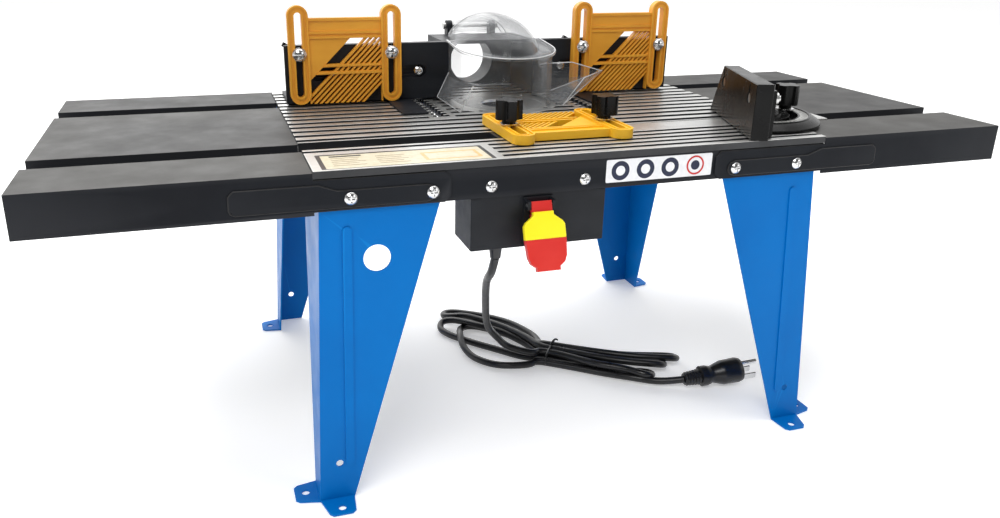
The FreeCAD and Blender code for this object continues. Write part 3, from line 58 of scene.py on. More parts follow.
class Shader:
    """A material's node tree with one Principled shader, built call by call."""

    def __init__(self, name):
        self.material = bpy.data.materials.new(name)
        self.material.use_nodes = True
        self.tree = self.material.node_tree
        self.main = self.tree.nodes["Principled BSDF"]
        self.place = self.tree.nodes.new("ShaderNodeTexCoord").outputs["Object"]

    def node(self, kind, inputs=None, **settings):
        made = self.tree.nodes.new("ShaderNode" + kind)
        for key, value in settings.items():
            setattr(made, key, value)
        for key, value in (inputs or {}).items():
            self.put(made.inputs[key], value)
        return made

    def put(self, socket, value):
        if isinstance(value, bpy.types.NodeSocket):
            self.tree.links.new(value, socket)
        else:
            socket.default_value = value

    def set(self, **values):
        for key, value in values.items():
            self.put(self.main.inputs[key.replace("_", " ")], value)

    def noise(self, scale, detail=3.0, rough=0.55, stretch=(1, 1, 1)):
        spot = self.node("Mapping", {"Vector": self.place, "Scale": stretch}).outputs[0]
        return self.node("TexNoise", {"Vector": spot, "Scale": scale, "Detail": detail,
                                      "Roughness": rough}).outputs["Fac"]

    def ramp(self, fac, low, high, start=0.35, end=0.65):
        made = self.node("ValToRGB", {"Fac": fac})
        made.color_ramp.elements[0].position = start
        made.color_ramp.elements[1].position = end
        made.color_ramp.elements[0].color = colour(low)
        made.color_ramp.elements[1].color = colour(high)
        return made.outputs["Color"]

    def span(self, fac, low, high, start=0.0, end=1.0):
        return self.node("MapRange", {"Value": fac, "From Min": start, "From Max": end,
                                      "To Min": low, "To Max": high}).outputs["Result"]

    def math(self, operation, a, b=0.0):
        made = self.node("Math", operation=operation)
        self.put(made.inputs[0], a)
        self.put(made.inputs[1], b)
        return made.outputs[0]

    def blend(self, fac, a, b):
        made = self.node("Mix", data_type="RGBA")
        self.put(made.inputs["Factor"], fac)
        self.put(made.inputs["A"], colour(a))
        self.put(made.inputs["B"], colour(b))
        return made.outputs["Result"]

    def bump(self, height, strength=0.2, distance=0.0002):
        made = self.node("Bump", {"Height": height, "Strength": strength, "Distance": distance})
        self.set(Normal=made.outputs["Normal"])

    def edges(self):
        """1 on worn outer edges and 0 elsewhere."""
        point = self.node("NewGeometry").outputs["Pointiness"]
        return self.span(point, 0.0, 1.0, 0.53, 0.60)

    def upward(self):
        """1 on faces that look up and 0 on upright ones."""
        normal = self.node("NewGeometry").outputs["Normal"]
        height = self.node("SeparateXYZ", {"Vector": normal}).outputs["Z"]
        return self.span(height, 0.0, 1.0, 0.35, 0.95)


def colour(value):
    """Socket or RGBA as it is, and RGB with full alpha added."""
    if isinstance(value, bpy.types.NodeSocket) or len(value) == 4:
        return value
    return (*value, 1.0)


def painted(name, base, light, rough, grain, grain_strength, worn, shine, lit_top_tint=None):
    """Enamel or powder coat: slight orange peel, cloudy tint, paler edges, and painted light that turns faces
    looking up a lighter grey.
    """
    s = Shader(name)
    tint = s.ramp(s.noise(9, 4), base, light)
    # Painted light: faces that look up are blended towards a lighter grey, as if lit from above.
    if lit_top_tint:
        lit_top_mask = s.math("MULTIPLY", s.upward(), s.span(s.noise(22, 5), 0.93, 1.0, 0.3, 0.7))
        tint = s.blend(lit_top_mask, tint, lit_top_tint)
    tint = s.blend(s.math("MULTIPLY", s.edges(), 0.6), tint, worn)
    s.set(Base_Color=tint, Roughness=s.span(s.noise(35, 5), rough - 0.05, rough + 0.09, 0.3, 0.7))
    s.set(Specular_IOR_Level=shine)
    s.bump(s.noise(grain, 2), grain_strength, 0.00012)
    return s.material


def plastic(name, base, light, rough=0.4, grain=1500, grain_strength=0.12, shine=0.4, glow=0.0):
    """Moulded plastic: fine spark texture, faint flow marks and soft scuffs."""
    s = Shader(name)
    tint = s.ramp(s.noise(14, 3, stretch=(1, 1, 2.5)), base, light)
    scuff = s.span(s.noise(120, 6, 0.7, stretch=(1, 3, 1)), 0.0, 1.0, 0.62, 0.72)
    s.set(Base_Color=tint)
    s.set(Roughness=s.math("ADD", s.span(s.noise(55, 4), rough - 0.06, rough + 0.06, 0.3, 0.7),
                           s.math("MULTIPLY", scuff, 0.08)))
    s.set(Specular_IOR_Level=shine, Subsurface_Weight=glow, Subsurface_Radius=(0.004, 0.002, 0.001))
    s.bump(s.noise(grain, 2), grain_strength, 0.0001)
    return s.material


def metal(name, base, light, rough=0.3, grain=400, stretch=(1, 1, 1), strength=0.12):
    """Bare or plated metal with drawn or turned grain and dull patches."""
    s = Shader(name)
    s.set(Base_Color=s.ramp(s.noise(25, 4), base, light), Metallic=1.0)
    s.set(Roughness=s.span(s.noise(grain, 3, stretch=stretch), rough - 0.08, rough + 0.12, 0.3, 0.7))
    s.bump(s.noise(grain, 2, stretch=stretch), strength, 0.00008)
    return s.material


def ribbed_top(name, level):
    """Black painted casting whose machined ribs are bare aluminium."""
    s = Shader(name)
    height = s.node("SeparateXYZ", {"Vector": s.place}).outputs["Z"]
    machined = s.math("GREATER_THAN", height, level - 0.35 * MM)
    paint = s.ramp(s.noise(30, 4), (0.012, 0.013, 0.015), (0.022, 0.023, 0.026))
    lines = s.noise(260, 4, 0.6, stretch=(0.05, 3.5, 1))
    bare = s.ramp(lines, (0.50, 0.50, 0.49), (0.74, 0.74, 0.72), 0.25, 0.75)
    stain = s.span(s.noise(18, 5, 0.65), 0.0, 0.35, 0.5, 0.75)
    bare = s.blend(stain, bare, (0.42, 0.41, 0.39))
    s.set(Base_Color=s.blend(machined, paint, bare), Metallic=s.math("MULTIPLY", machined, 0.95))
    s.set(Roughness=s.blend(machined, s.span(s.noise(50, 3), 0.42, 0.56, 0.3, 0.7),
                            s.span(lines, 0.28, 0.44, 0.3, 0.7)))
    s.bump(s.math("ADD", s.math("MULTIPLY", lines, machined), s.noise(900, 2)), 0.10, 0.00008)
    return s.material


def clear_plastic(name):
    """Clear polycarbonate with hairline scratches: nearly invisible face on and grey towards its edges, where
    the grey cover is painted shade standing in for refraction.
    """
    s = Shader(name)
    scratches = s.span(s.noise(300, 4, 0.7, stretch=(0.15, 2.5, 1)), 0.0, 0.12, 0.60, 0.75)
    # The grey cover grows towards grazing angles: painted shade in place of light bent by the clear plastic.
    facing = s.node("LayerWeight", {"Blend": 0.38}).outputs["Facing"]
    cover = s.span(s.math("POWER", facing, 2.0), 0.09, 0.62)
    s.set(Base_Color=s.ramp(s.noise(10, 3), (0.20, 0.21, 0.22), (0.32, 0.33, 0.34)))
    s.set(Roughness=s.math("ADD", scratches, 0.05), Specular_IOR_Level=0.9)
    s.set(Alpha=s.math("ADD", cover, s.math("MULTIPLY", scratches, 0.9)))
    s.bump(s.noise(70, 3, 0.6), 0.05, 0.0004)
    return s.material


def printed(name, base, light, rough=0.35):
    """Printed vinyl label with a slightly uneven print and a smooth film."""
    s = Shader(name)
    s.set(Base_Color=s.ramp(s.noise(180, 5, 0.7), base, light, 0.3, 0.7))
    s.set(Roughness=s.span(s.noise(60, 3), rough - 0.05, rough + 0.08, 0.3, 0.7), Specular_IOR_Level=0.35)
    s.bump(s.noise(800, 2), 0.05, 0.00005)
    return s.material


def cord_skin(name):
    """Glossy PVC sheath with the faint print and moulding ripples of a mains lead."""
    s = Shader(name)
    s.set(Base_Color=s.ramp(s.noise(40, 4), (0.004, 0.004, 0.005), (0.010, 0.010, 0.011)))
    s.set(Roughness=s.span(s.noise(90, 4), 0.26, 0.42, 0.3, 0.7), Specular_IOR_Level=0.55)
    s.bump(s.noise(500, 3, 0.6), 0.12, 0.00015)
    return s.material


LOOKS = {
    "ribbed_aluminium": ribbed_top("ribbed_aluminium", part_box("table_top")[1].z),
    "zinc_steel": metal("zinc_steel", (0.48, 0.48, 0.47), (0.66, 0.66, 0.65), 0.34, 700),
    # The black sheet's lighter grey on faces that look up is painted light.
    "black_sheet": painted("black_sheet", (0.008, 0.009, 0.012), (0.012, 0.014, 0.018), 0.46, 1400, 0.35,
                           (0.035, 0.036, 0.04), shine=0.11, lit_top_tint=(0.085, 0.082, 0.074)),
    "blue_paint": painted("blue_paint", (0.0, 0.135, 0.46), (0.0, 0.155, 0.51), 0.34, 500, 0.10,
                          (0.004, 0.21, 0.60), shine=0.09),
    "bright_chrome": metal("bright_chrome", (0.62, 0.62, 0.62), (0.78, 0.78, 0.78), 0.18, 900),
    "matt_black_plastic": plastic("matt_black_plastic", (0.009, 0.010, 0.013), (0.014, 0.016, 0.020), 0.44,
                                  1300, 0.3, shine=0.2),
    "gloss_black": plastic("gloss_black", (0.003, 0.003, 0.003), (0.006, 0.006, 0.006), 0.24, 700, 0.06,
                           shine=0.15),
    "red_plastic": plastic("red_plastic", (0.60, 0.026, 0.022), (0.68, 0.04, 0.03), 0.36, glow=0.05),
    "hood_yellow": plastic("hood_yellow", (0.93, 0.78, 0.015), (1.0, 0.86, 0.03), 0.36, glow=0.05),
    "orange_plastic": plastic("orange_plastic", (0.74, 0.32, 0.03), (0.83, 0.39, 0.04), 0.40, shine=0.25,
                              glow=0.06),
    "board_yellow": plastic("board_yellow", (0.80, 0.42, 0.014), (0.88, 0.49, 0.025), 0.38, glow=0.06),
    "clear_plastic": clear_plastic("clear_plastic"),
    "cord_rubber": cord_skin("cord_rubber"),
    # Light grey for the wires on the clear guard's edges and seams: painted highlight.
    "guard_edge_highlight": plastic("guard_edge_highlight", (0.50, 0.51, 0.52), (0.68, 0.69, 0.70), 0.18, 500, 0.05, shine=0.6),
    "label_cream": printed("label_cream", (0.52, 0.46, 0.31), (0.66, 0.61, 0.47)),
    "label_white": printed("label_white", (0.74, 0.75, 0.78), (0.86, 0.86, 0.87)),
    # Black print, also worn by the painted shade lines in the panel creases.
    "print_black_and_crease_shade": printed("print_black_and_crease_shade", (0.006, 0.006, 0.007), (0.014, 0.014, 0.015)),
    "label_brown": printed("label_brown", (0.22, 0.15, 0.08), (0.36, 0.27, 0.16)),
    "label_orange": printed("label_orange", (0.70, 0.34, 0.10), (0.80, 0.48, 0.22)),
    "label_navy": printed("label_navy", (0.006, 0.010, 0.035), (0.012, 0.018, 0.055)),
    "label_red": printed("label_red", (0.50, 0.015, 0.015), (0.62, 0.03, 0.025)),
    "studio_floor": printed("studio_floor", (0.90, 0.90, 0.90), (0.93, 0.93, 0.93), 0.8),
    "scale_metal": metal("scale_metal", (0.27, 0.27, 0.26), (0.44, 0.44, 0.42), 0.36, 600),
}


# ---------------------------------------------------------------- mesh helpers

slot_of = {part["node"]: part["material_slot"] for part in frame["record"]["subparts"]}


def dress(made, look, body):
    """Gives an object one of the looks and lets it ride on a body."""
    made.data.materials.append(LOOKS[look])
    if body:
        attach(made, body)


def finish_mesh(build, name, body, look, smooth=True):
    """Object from a bmesh, riding on a body and wearing one of the looks."""
    mesh = bpy.data.meshes.new(name)
    bmesh.ops.recalc_face_normals(build, faces=build.faces)
    build.to_mesh(mesh)
    build.free()
    if smooth:
        mesh.shade_smooth()
    made = bpy.data.objects.new(name, mesh)
    bpy.context.scene.collection.objects.link(made)
    dress(made, look, body)
    return made


def rounded_plate(build, x0, y0, x1, y1, radius, low, high, place=Matrix.Identity(4), corner_steps=5):
    """Adds a flat plate with rounded corners to a bmesh, in the place's own XY plane."""
    outline = []
    for cx, cy, start in ((x1 - radius, y1 - radius, 0), (x0 + radius, y1 - radius, 90),
                          (x0 + radius, y0 + radius, 180), (x1 - radius, y0 + radius, 270)):
        for i in range(corner_steps + 1):
            turn = math.radians(start + 90 * i / corner_steps)
            outline.append((cx + radius * math.cos(turn), cy + radius * math.sin(turn)))
    extrude_outline(build, outline, low, high, place)


def extrude_outline(build, outline, low, high, place=Matrix.Identity(4)):
    """Adds a straight-sided solid over an outline, from one height to the other."""
    bottom = [build.verts.new(place @ Vector((x, y, low))) for x, y in outline]
    top = [build.verts.new(place @ Vector((x, y, high))) for x, y in outline]
    build.faces.new(list(reversed(bottom)))
    build.faces.new(top)
    count = len(outline)
    for i in range(count):
        j = (i + 1) % count
        build.faces.new((bottom[i], bottom[j], top[j], top[i]))


def lathe(build, profile, start, axis, steps=32):
    """Adds a closed surface turned about an axis; the profile is (radius, distance along it)."""
    turn_to = Vector((0, 0, 1)).rotation_difference(Vector(axis)).to_matrix().to_4x4()
    place = Matrix.Translation(Vector(start)) @ turn_to
    rings = []
    for radius, along in profile:
        if radius < 1e-6:
            rings.append([build.verts.new(place @ Vector((0, 0, along)))])
            continue
        rings.append([build.verts.new(place @ Vector((radius * math.cos(math.tau * i / steps),
                                                      radius * math.sin(math.tau * i / steps), along)))
                      for i in range(steps)])
    for one, two in zip(rings, rings[1:]):
        for i in range(steps):
            j = (i + 1) % steps
            corners = [one[i % len(one)], one[j % len(one)], two[j % len(two)], two[i % len(two)]]
            build.faces.new(list(dict.fromkeys(corners)))


def disc_outline(cx, cy, radius, steps=36):
    """Points (x, y) round a circle."""
    return [(cx + radius * math.cos(math.tau * i / steps), cy + radius * math.sin(math.tau * i / steps))
            for i in range(steps)]


def arc_points(radius, start, end, steps):
    """Points (x, y) along an arc about the origin, from one angle to another in degrees."""
    turns = [math.radians(start + (end - start) * i / steps) for i in range(steps + 1)]
    return [(radius * math.cos(turn), radius * math.sin(turn)) for turn in turns]


# ---------------------------------------------------------------- CAD nodes

BEVELS = {"table_top": 0.25, "left_wing": 0.9, "right_wing": 0.9, "front_apron": 0.6, "rear_apron": 0.6,
          "left_front_leg": 0.5, "right_front_leg": 0.5, "left_rear_leg": 0.5, "right_rear_leg": 0.5,
          "switch_box": 0.8, "switch_body": 0.5, "paddle_hinge": 0.5, "paddle_hood": 0.7, "stop_pad": 0.8,
          "fence_body": 0.5, "left_fence_face": 0.6, "right_fence_face": 0.6, "mitre_face": 1.2,
          "mitre_head": 0.6, "left_feather_board": 0.5, "right_feather_board": 0.5,
          "flat_feather_board": 0.5, "slot_bar": 0.4, "mitre_bar": 0.5}
DEFAULT_BEVEL = 0.25
# thin clear shell whose edges stay as they are
PLAIN_NODES = {"bit_guard"}
# pieces with large flat faces, which are merged before the bevel and shaded flat
FLAT_NODES = {"table_top", "left_wing", "right_wing", "front_apron", "rear_apron", "left_front_leg",
              "right_front_leg", "left_rear_leg", "right_rear_leg", "fence_body", "left_fence_face",
              "right_fence_face", "mitre_face"}

for node, thing in nodes.items():
    thing.data.materials.clear()
    thing.data.materials.append(LOOKS[slot_of[node]])
    weld = thing.modifiers.new("weld", "WELD")
    weld.merge_threshold = 0.002 * MM
    if node in FLAT_NODES:
        merge = thing.modifiers.new("merge_flat_faces", "DECIMATE")
        merge.decimate_type = "DISSOLVE"
        merge.angle_limit = math.radians(0.3)
    if node not in PLAIN_NODES:
        bevel = thing.modifiers.new("bevel", "BEVEL")
        bevel.width = BEVELS.get(node, DEFAULT_BEVEL) * MM
        bevel.segments = 2
        bevel.limit_method = "ANGLE"
        bevel.angle_limit = math.radians(40)
        bevel.use_clamp_overlap = True
    if node in FLAT_NODES:
        thing.data.shade_flat()
        continue
    thing.data.shade_smooth()
    normals = thing.modifiers.new("normals", "WEIGHTED_NORMAL")
    normals.keep_sharp = True


# ---------------------------------------------------------------- mains cord, hank, tie and plug

# Routes and heights are in millimetres.
CORD_RADIUS = 3.75 * MM
DROP_ROUTE = [(-67, -132, 181), (-68, -127, 165), (-64, -105, 151), (-57.5, -82, 134), (-50, -60, 112),
              (-42, -38, 88), (-34, -17, 63), (-25, -3, 45), (-14, 3, 32), (-4, 3.5, 20), (9, -3, 16),
              (24, -9, 13)]
TAIL_ROUTE = [(112, -80, 7), (126, -86, 5), (141, -94, 6.5), (155, -99.5, 9.5)]
TIE_MIDDLE = Vector((46.5, -3.0))
TIE_HEADING = Vector((0.806, -0.592))
TIE_ACROSS = Vector((0.592, 0.806))
FLOOR_LAYER = 3.9
UPPER_LAYER = 10.9

# Each turn of the hank leaves the tie in one lane, folds back at its right end, returns through
# the tie in another lane and goes round its own loop at the left. A lane is (across, height).
TURNS = [
    {"out": (-6.0, UPPER_LAYER), "right": [(78, -48), (104, -66)], "tip": (121, -72),
     "back": (-8.5, FLOOR_LAYER), "run_back": [(103, -55), (82, -38)],
     "left": [(17, 1, 3.9), (-6, 28, 3.9), (-20, 43, 3.9), (-34, 60, 3.9), (-46, 76, 3.9), (-53, 92, 4.5),
              (-47, 106, 7.5), (-34, 99, 11), (-19, 82, 12), (-3, 66, 12), (14, 52, 9), (30, 30, 5)]},
    {"out": (0.0, FLOOR_LAYER), "right": [(96, -24), (121, -40)], "tip": (144, -56),
     "back": (3.0, UPPER_LAYER), "run_back": [(112, -53), (90, -38)],
     "left": [(34, 28, 11), (22, 54, 11), (10, 74, 11), (-4, 91, 11), (-18, 106, 11), (-30, 112, 9),
              (-40, 121, 6), (-37, 133, 4.5), (-24, 134, 3.9), (-9, 125, 3.9), (9, 112, 3.9), (30, 90, 3.9),
              (41, 68, 3.9), (49, 40, 3.9)]},
    {"out": (8.5, FLOOR_LAYER), "right": [(101, -12), (128, -26)], "tip": (164, -48),
     "back": (12.0, UPPER_LAYER), "run_back": [(128, -46), (98, -28)],
     "left": [(40, 28, 6), (26, 48, 3.9), (10, 69, 3.9), (-4, 84, 3.9), (-17, 92, 3.9), (-28, 88, 4.5),
              (-34, 75, 8.5), (-38, 60, 11.5), (-41, 42, 7), (-38, 22, 3.9), (-30, 6, 3.9), (-17, -7, 3.9),
              (-1, -13, 3.9), (18, -16, 3.9)]},
]
TAIL_LANE = (-17.0, FLOOR_LAYER)
TIE_REACH = 12.0
FOLD_RADIUS = 11.0


def lane_point(lane, along):
    """Point in one of the tie's lanes, so far along the hank's heading."""
    across, height = lane
    spot = TIE_MIDDLE + TIE_ACROSS * across + TIE_HEADING * along
    return (spot.x, spot.y, height)


def fold_points(tip, arriving, first_side, low_first):
    """Control points round a half-turn at the hank's right end."""
    heading = Vector(arriving).normalized()
    across = Vector((-heading.y, heading.x))
    reach = FOLD_RADIUS / math.cos(math.radians(22.5))
    heights = [FLOOR_LAYER, 5.5, 9.5, 12.5]
    if not low_first:
        heights.reverse()
    points = []
    for turn, height in zip((-67.5, -22.5, 22.5, 67.5), heights):
        angle = math.radians(turn)
        spot = (Vector(tip) + heading * reach * math.cos(angle)
                - across * first_side * reach * math.sin(angle))
        points.append((spot.x, spot.y, height))
    return points


def hank_route():
    """Control points of all the turns, and of the run that leaves the tie towards the plug."""
    route = []
    for turn in TURNS:
        route += [lane_point(turn["out"], -TIE_REACH), lane_point(turn["out"], TIE_REACH)]
        low_first = turn["out"][1] < UPPER_LAYER
        run_height = FLOOR_LAYER if low_first else 12.5
        back_height = 12.5 if low_first else FLOOR_LAYER
        route += [(x, y, run_height) for x, y in turn["right"]]
        arriving = Vector(turn["right"][1]) - Vector(turn["right"][0])
        route += fold_points(turn["tip"], arriving, 1 if low_first else -1, low_first)
        route += [(x, y, back_height) for x, y in turn["run_back"]]
        route += [lane_point(turn["back"], TIE_REACH), lane_point(turn["back"], -TIE_REACH)]
        route += turn["left"]
    route += [lane_point(TAIL_LANE, -TIE_REACH), lane_point(TAIL_LANE, TIE_REACH), (67, -40, 3.9),
              (88, -57, 3.9)]
    return route


def cord_line(name, points, bevel):
    """Open NURBS line through the cord's route."""
    curve = bpy.data.curves.new(name, "CURVE")
    curve.dimensions = "3D"
    spline = curve.splines.new("NURBS")
    spline.points.add(len(points) - 1)
    for control, point in zip(spline.points, points):
        control.co = (*(value * MM for value in point), 1.0)
    spline.order_u = 3
    spline.use_endpoint_u = True
    spline.resolution_u = 10
    curve.bevel_depth = bevel
    curve.bevel_resolution = 5
    curve.use_fill_caps = True
    made = bpy.data.objects.new(name, curve)
    bpy.context.scene.collection.objects.link(made)
    return made


cord = cord_line("mains_lead", DROP_ROUTE + hank_route() + TAIL_ROUTE, CORD_RADIUS)
dress(cord, "cord_rubber", "frame")
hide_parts("mains_cord", "mains_cord_tail", "cord_hank")


def line_length(source):
    """Length of a curve's centre line in metres."""
    bare = source.data.copy()
    bare.bevel_depth = 0
    holder = bpy.data.objects.new("measure", bare)
    mesh = bpy.data.meshes.new_from_object(holder)
    spots = [vertex.co.copy() for vertex in mesh.vertices]
    total = sum((spots[edge.vertices[0]] - spots[edge.vertices[1]]).length for edge in mesh.edges)
    bpy.data.meshes.remove(mesh)
    bpy.data.objects.remove(holder)
    bpy.data.curves.remove(bare)
    return total


# ---------------------------------------------------------------- twist tie and plug ribs

def wire(name, points, radius, body, look, cyclic=False):
    """Round wire along points in millimetres, as a poly curve."""
    curve = bpy.data.curves.new(name, "CURVE")
    curve.dimensions = "3D"
    spline = curve.splines.new("POLY")
    spline.points.add(len(points) - 1)
    for control, point in zip(spline.points, points):
        control.co = (*(value * MM for value in point), 1.0)
    spline.use_cyclic_u = cyclic
    curve.bevel_depth = radius * MM
    curve.bevel_resolution = 3
    curve.use_fill_caps = True
    made = bpy.data.objects.new(name, curve)
    bpy.context.scene.collection.objects.link(made)
    dress(made, look, body)
    return made


def tie_point(across, height, along=0.0):
    """Point measured across and along the hank from the tie's middle."""
    spot = TIE_MIDDLE + TIE_ACROSS * across + TIE_HEADING * along
    return (spot.x, spot.y, height)


def rounded_wave(value):
    """Sine or cosine value pushed outwards, which turns a circle into a rounded box."""
    return math.copysign(abs(value) ** 0.7, value)


def twist_tie():
    """Loop round the hank's waist and the two ends twisted together above it."""
    loop, loop_steps = [], 28
    for i in range(loop_steps):
        turn = math.tau * i / loop_steps
        across = -2.0 + 20.5 * rounded_wave(math.cos(turn))
        height = 8.1 + 7.6 * rounded_wave(math.sin(turn))
        loop.append(tie_point(across, max(height, 0.9)))
    wire("tie_loop", loop, 0.8, "frame", "cord_rubber", cyclic=True)
    twist_steps, strand_radius = 24, 0.8
    for strand in (0, 1):
        twist = []
        for i in range(twist_steps + 1):
            turn = math.pi * strand + math.tau * i / 8
            rise = i / twist_steps
            across = 2.0 + 9.0 * rise + strand_radius * math.cos(turn)
            height = 16.2 + 4.4 * math.sin(rise * 2.6)
            twist.append(tie_point(across, height, strand_radius * math.sin(turn) + 5.0 * rise))
        wire("tie_twist_%d" % strand, twist, 0.7, "frame", "cord_rubber")


def plug_ribs():
    """Raised grip rings round the plug's tapered neck."""
    start = Vector(TAIL_ROUTE[-1]) * MM
    axis = Vector((62.0, -6.0, 5.5)).normalized()
    first, pitch, half_foot, half_crown, rise = 2.2, 3.1, 1.0, 0.5, 0.8
    ribs = bmesh.new()
    for i in range(5):
        middle = first + pitch * i
        neck = 6.1 + 1.5 * middle / 17
        profile = [(0, middle - half_foot), (neck, middle - half_foot), (neck + rise, middle - half_crown),
                   (neck + rise, middle + half_crown), (neck, middle + half_foot), (0, middle + half_foot)]
        lathe(ribs, [(radius * MM, along * MM) for radius, along in profile], start, axis, 24)
    finish_mesh(ribs, "plug_ribs", "frame", "cord_rubber", smooth=False)


twist_tie()
plug_ribs()

# ---------------------------------------------------------------- labels, scale and other small details

TOP = 277.5                # level of the ribs
FRONT = -167.5             # Y of the table's front edge
SLOT_FROM_FRONT = 77.5
FILM = 0.12                # label sheet on its base
PRINT = 0.04               # one layer of print on a label
MITRE_PIVOT = Vector((201.0, FRONT + SLOT_FROM_FRONT, TOP + 7.5)) * MM
MITRE_TURN = -18.9


def plate_patch(name, x0, y0, x1, y1, level, look, thick, radius=1.0):
    """Thin patch lying on the table top; y is measured from the front edge."""
    build = bmesh.new()
    rounded_plate(build, x0 * MM, (FRONT + y0) * MM, x1 * MM, (FRONT + y1) * MM, radius * MM,
                  level * MM, (level + thick) * MM)
    finish_mesh(build, name, "frame", look, smooth=False)


def top_label():
    """Cream sheet with plain rows and a band, inside a dark border line."""
    printed_level = TOP + FILM + 0.08
    plate_patch("label_line", -215, 2.6, -79.5, 45, TOP, "print_black_and_crease_shade", FILM)
    plate_patch("label_sheet", -211.5, 3.0, -83, 41.5, TOP + FILM, "label_cream", 0.08)
    row_pitch, row_high, block_wide = 5.2, 1.3, 30
    build = bmesh.new()
    for block_x in (-205, -170):
        for row in range(5):
            length = block_wide * random.uniform(0.65, 1.0)
            y = FRONT + 31 - row_pitch * row
            rounded_plate(build, block_x * MM, y * MM, (block_x + length) * MM, (y + row_high) * MM, 0.5 * MM,
                          printed_level * MM, (printed_level + PRINT) * MM)
    finish_mesh(build, "label_rows", "frame", "label_brown", smooth=False)
    plate_patch("label_heading", -205, 35.5, -180, 39, printed_level, "print_black_and_crease_shade", 0.05, 0.6)
    plate_patch("label_band", -134, 10, -88, 33, printed_level, "label_orange", PRINT)
    plate_patch("label_band_inside", -131, 12.5, -91, 30, printed_level + PRINT, "label_cream", PRINT)


def front_label():
    """Row of plain rings and dots on the front apron."""
    face = FRONT + 1.5
    left, right, low, high = 15, 114, 250.2, 269.5
    middle = (low + high) / 2
    dot_radius, ring_x, ring_radius = 4.2, 98, 7.6
    place = Matrix.Translation((0, face * MM, 0)) @ Matrix.Rotation(math.radians(90), 4, "X")

    def add_disc(build, x, radius, steps, level):
        outline = [(px * MM, pz * MM) for px, pz in disc_outline(x, middle, radius, steps)]
        extrude_outline(build, outline, level * MM, (level + PRINT) * MM, place)

    sheet = bmesh.new()
    rounded_plate(sheet, left * MM, low * MM, right * MM, high * MM, 1.2 * MM, 0.0, FILM * MM, place)
    finish_mesh(sheet, "front_label_sheet", "frame", "label_white", smooth=False)
    discs = bmesh.new()
    marks = bmesh.new()
    for x in (28, 51, 74):
        add_disc(discs, x, 8.2, 36, FILM)
        add_disc(marks, x, dot_radius, 20, FILM + PRINT)
    finish_mesh(discs, "front_label_discs", "frame", "label_navy", smooth=False)
    finish_mesh(marks, "front_label_marks", "frame", "label_white", smooth=False)
    ring = [(x, face - 0.1, z) for x, z in disc_outline(ring_x, middle, ring_radius, 32)]
    wire("front_label_ring", ring, 0.75, "frame", "label_red", cyclic=True)
    dot = bmesh.new()
    add_disc(dot, ring_x, dot_radius, 20, FILM)
    finish_mesh(dot, "front_label_dot", "frame", "label_navy", smooth=False)


def protractor():
    """Bare metal scale ring on the mitre head, with fine dark divisions."""
    turn = Matrix.Translation(MITRE_PIVOT) @ Matrix.Rotation(math.radians(MITRE_TURN), 4, "Z")
    inner, outer, reach, steps = 45.5, 52.5, 84, 40
    thick, tick_rise, tick_half, tick_margin = 0.12, 0.08, 0.28, 0.8
    outline = arc_points(outer * MM, -reach, reach, steps) + arc_points(inner * MM, reach, -reach, steps)
    ring = bmesh.new()
    bottom = [ring.verts.new(turn @ Vector((x, y, 0.0))) for x, y in outline]
    top = [ring.verts.new(turn @ Vector((x, y, thick * MM))) for x, y in outline]
    count = len(outline)
    for i in range(steps):
        ring.faces.new((top[i], top[i + 1], top[count - 2 - i], top[count - 1 - i]))
    for i in range(count):
        ring.faces.new((bottom[i], bottom[(i + 1) % count], top[(i + 1) % count], top[i]))
    finish_mesh(ring, "protractor_ring", "mitre_head", "scale_metal", smooth=False)
    ticks = bmesh.new()
    for i in range(33):
        long = 4.5 if i % 2 == 0 else 2.8
        spin = turn @ Matrix.Rotation(math.radians(-80 + 5 * i), 4, "Z")
        end = outer - tick_margin
        rounded_plate(ticks, (end - long) * MM, -tick_half * MM, end * MM, tick_half * MM, 0.1 * MM,
                      thick * MM, (thick + tick_rise) * MM, spin, 1)
    finish_mesh(ticks, "protractor_ticks", "mitre_head", "print_black_and_crease_shade", smooth=False)


def crease_shade_lines():
    """Black wire along the crease round the pressed panel on each side of the front and the back: painted
    shade in the crease.
    """
    panel_face = 167.9
    for side in (-1, 1):
        step = 5 if side > 0 else 0
        outline = [(279, 248.5), (136, 248.5), (132, 250), (129.5, 253), (129.5, 257), (132, 260),
                   (136, 261.5), (205 + step, 261.5), (219 + step, 266.6), (279, 266.6), (282, 264),
                   (283, 262.5), (283, 252.5), (282, 250)]
        for face in (-1, 1):
            points = [(side * x, face * panel_face, z) for x, z in outline]
            wire("crease_shade_line_%d_%d" % (side + 1, face + 1), points, 0.62, "frame", "print_black_and_crease_shade", cyclic=True)


def guard_rim():
    """Light grey wire along the guard's lip, which rises towards the fence: painted highlight where the clear
    edge catches the light.
    """
    centre, radius = FRONT + 208, 50.2
    front, back = centre - 56, FRONT + 243.5
    front_level, back_level = 329.0, 338.5

    def level(y):
        return front_level + (y - front) * (back_level - front_level) / (back - front)

    edge = [(x, centre + y) for x, y in arc_points(radius, 180, 360, 24)]
    edge = [(-radius, back)] + edge + [(radius, back)]
    wire("guard_rim_edge", [(x, y, level(y)) for x, y in edge], 0.55, "guard", "guard_edge_highlight")


def guard_seams():
    """Two moulded seams across the back of the guard's dome, drawn as light grey wires whose brightness is
    painted highlight.
    """
    middle, half_long, half_round = FRONT + 250, 86, 45
    rim_level, sunk = 338.3, 19
    for number, along in enumerate((46, 53)):
        radius = half_round * math.sqrt(1 - (along / half_long) ** 2) + 0.1
        start = math.degrees(math.asin(sunk / radius))
        arc = [(x, middle + along, rim_level - sunk + z)
               for x, z in arc_points(radius, start, 180 - start, 24)]
        wire("guard_seam_%d" % number, arc, 0.45, "guard", "guard_edge_highlight")


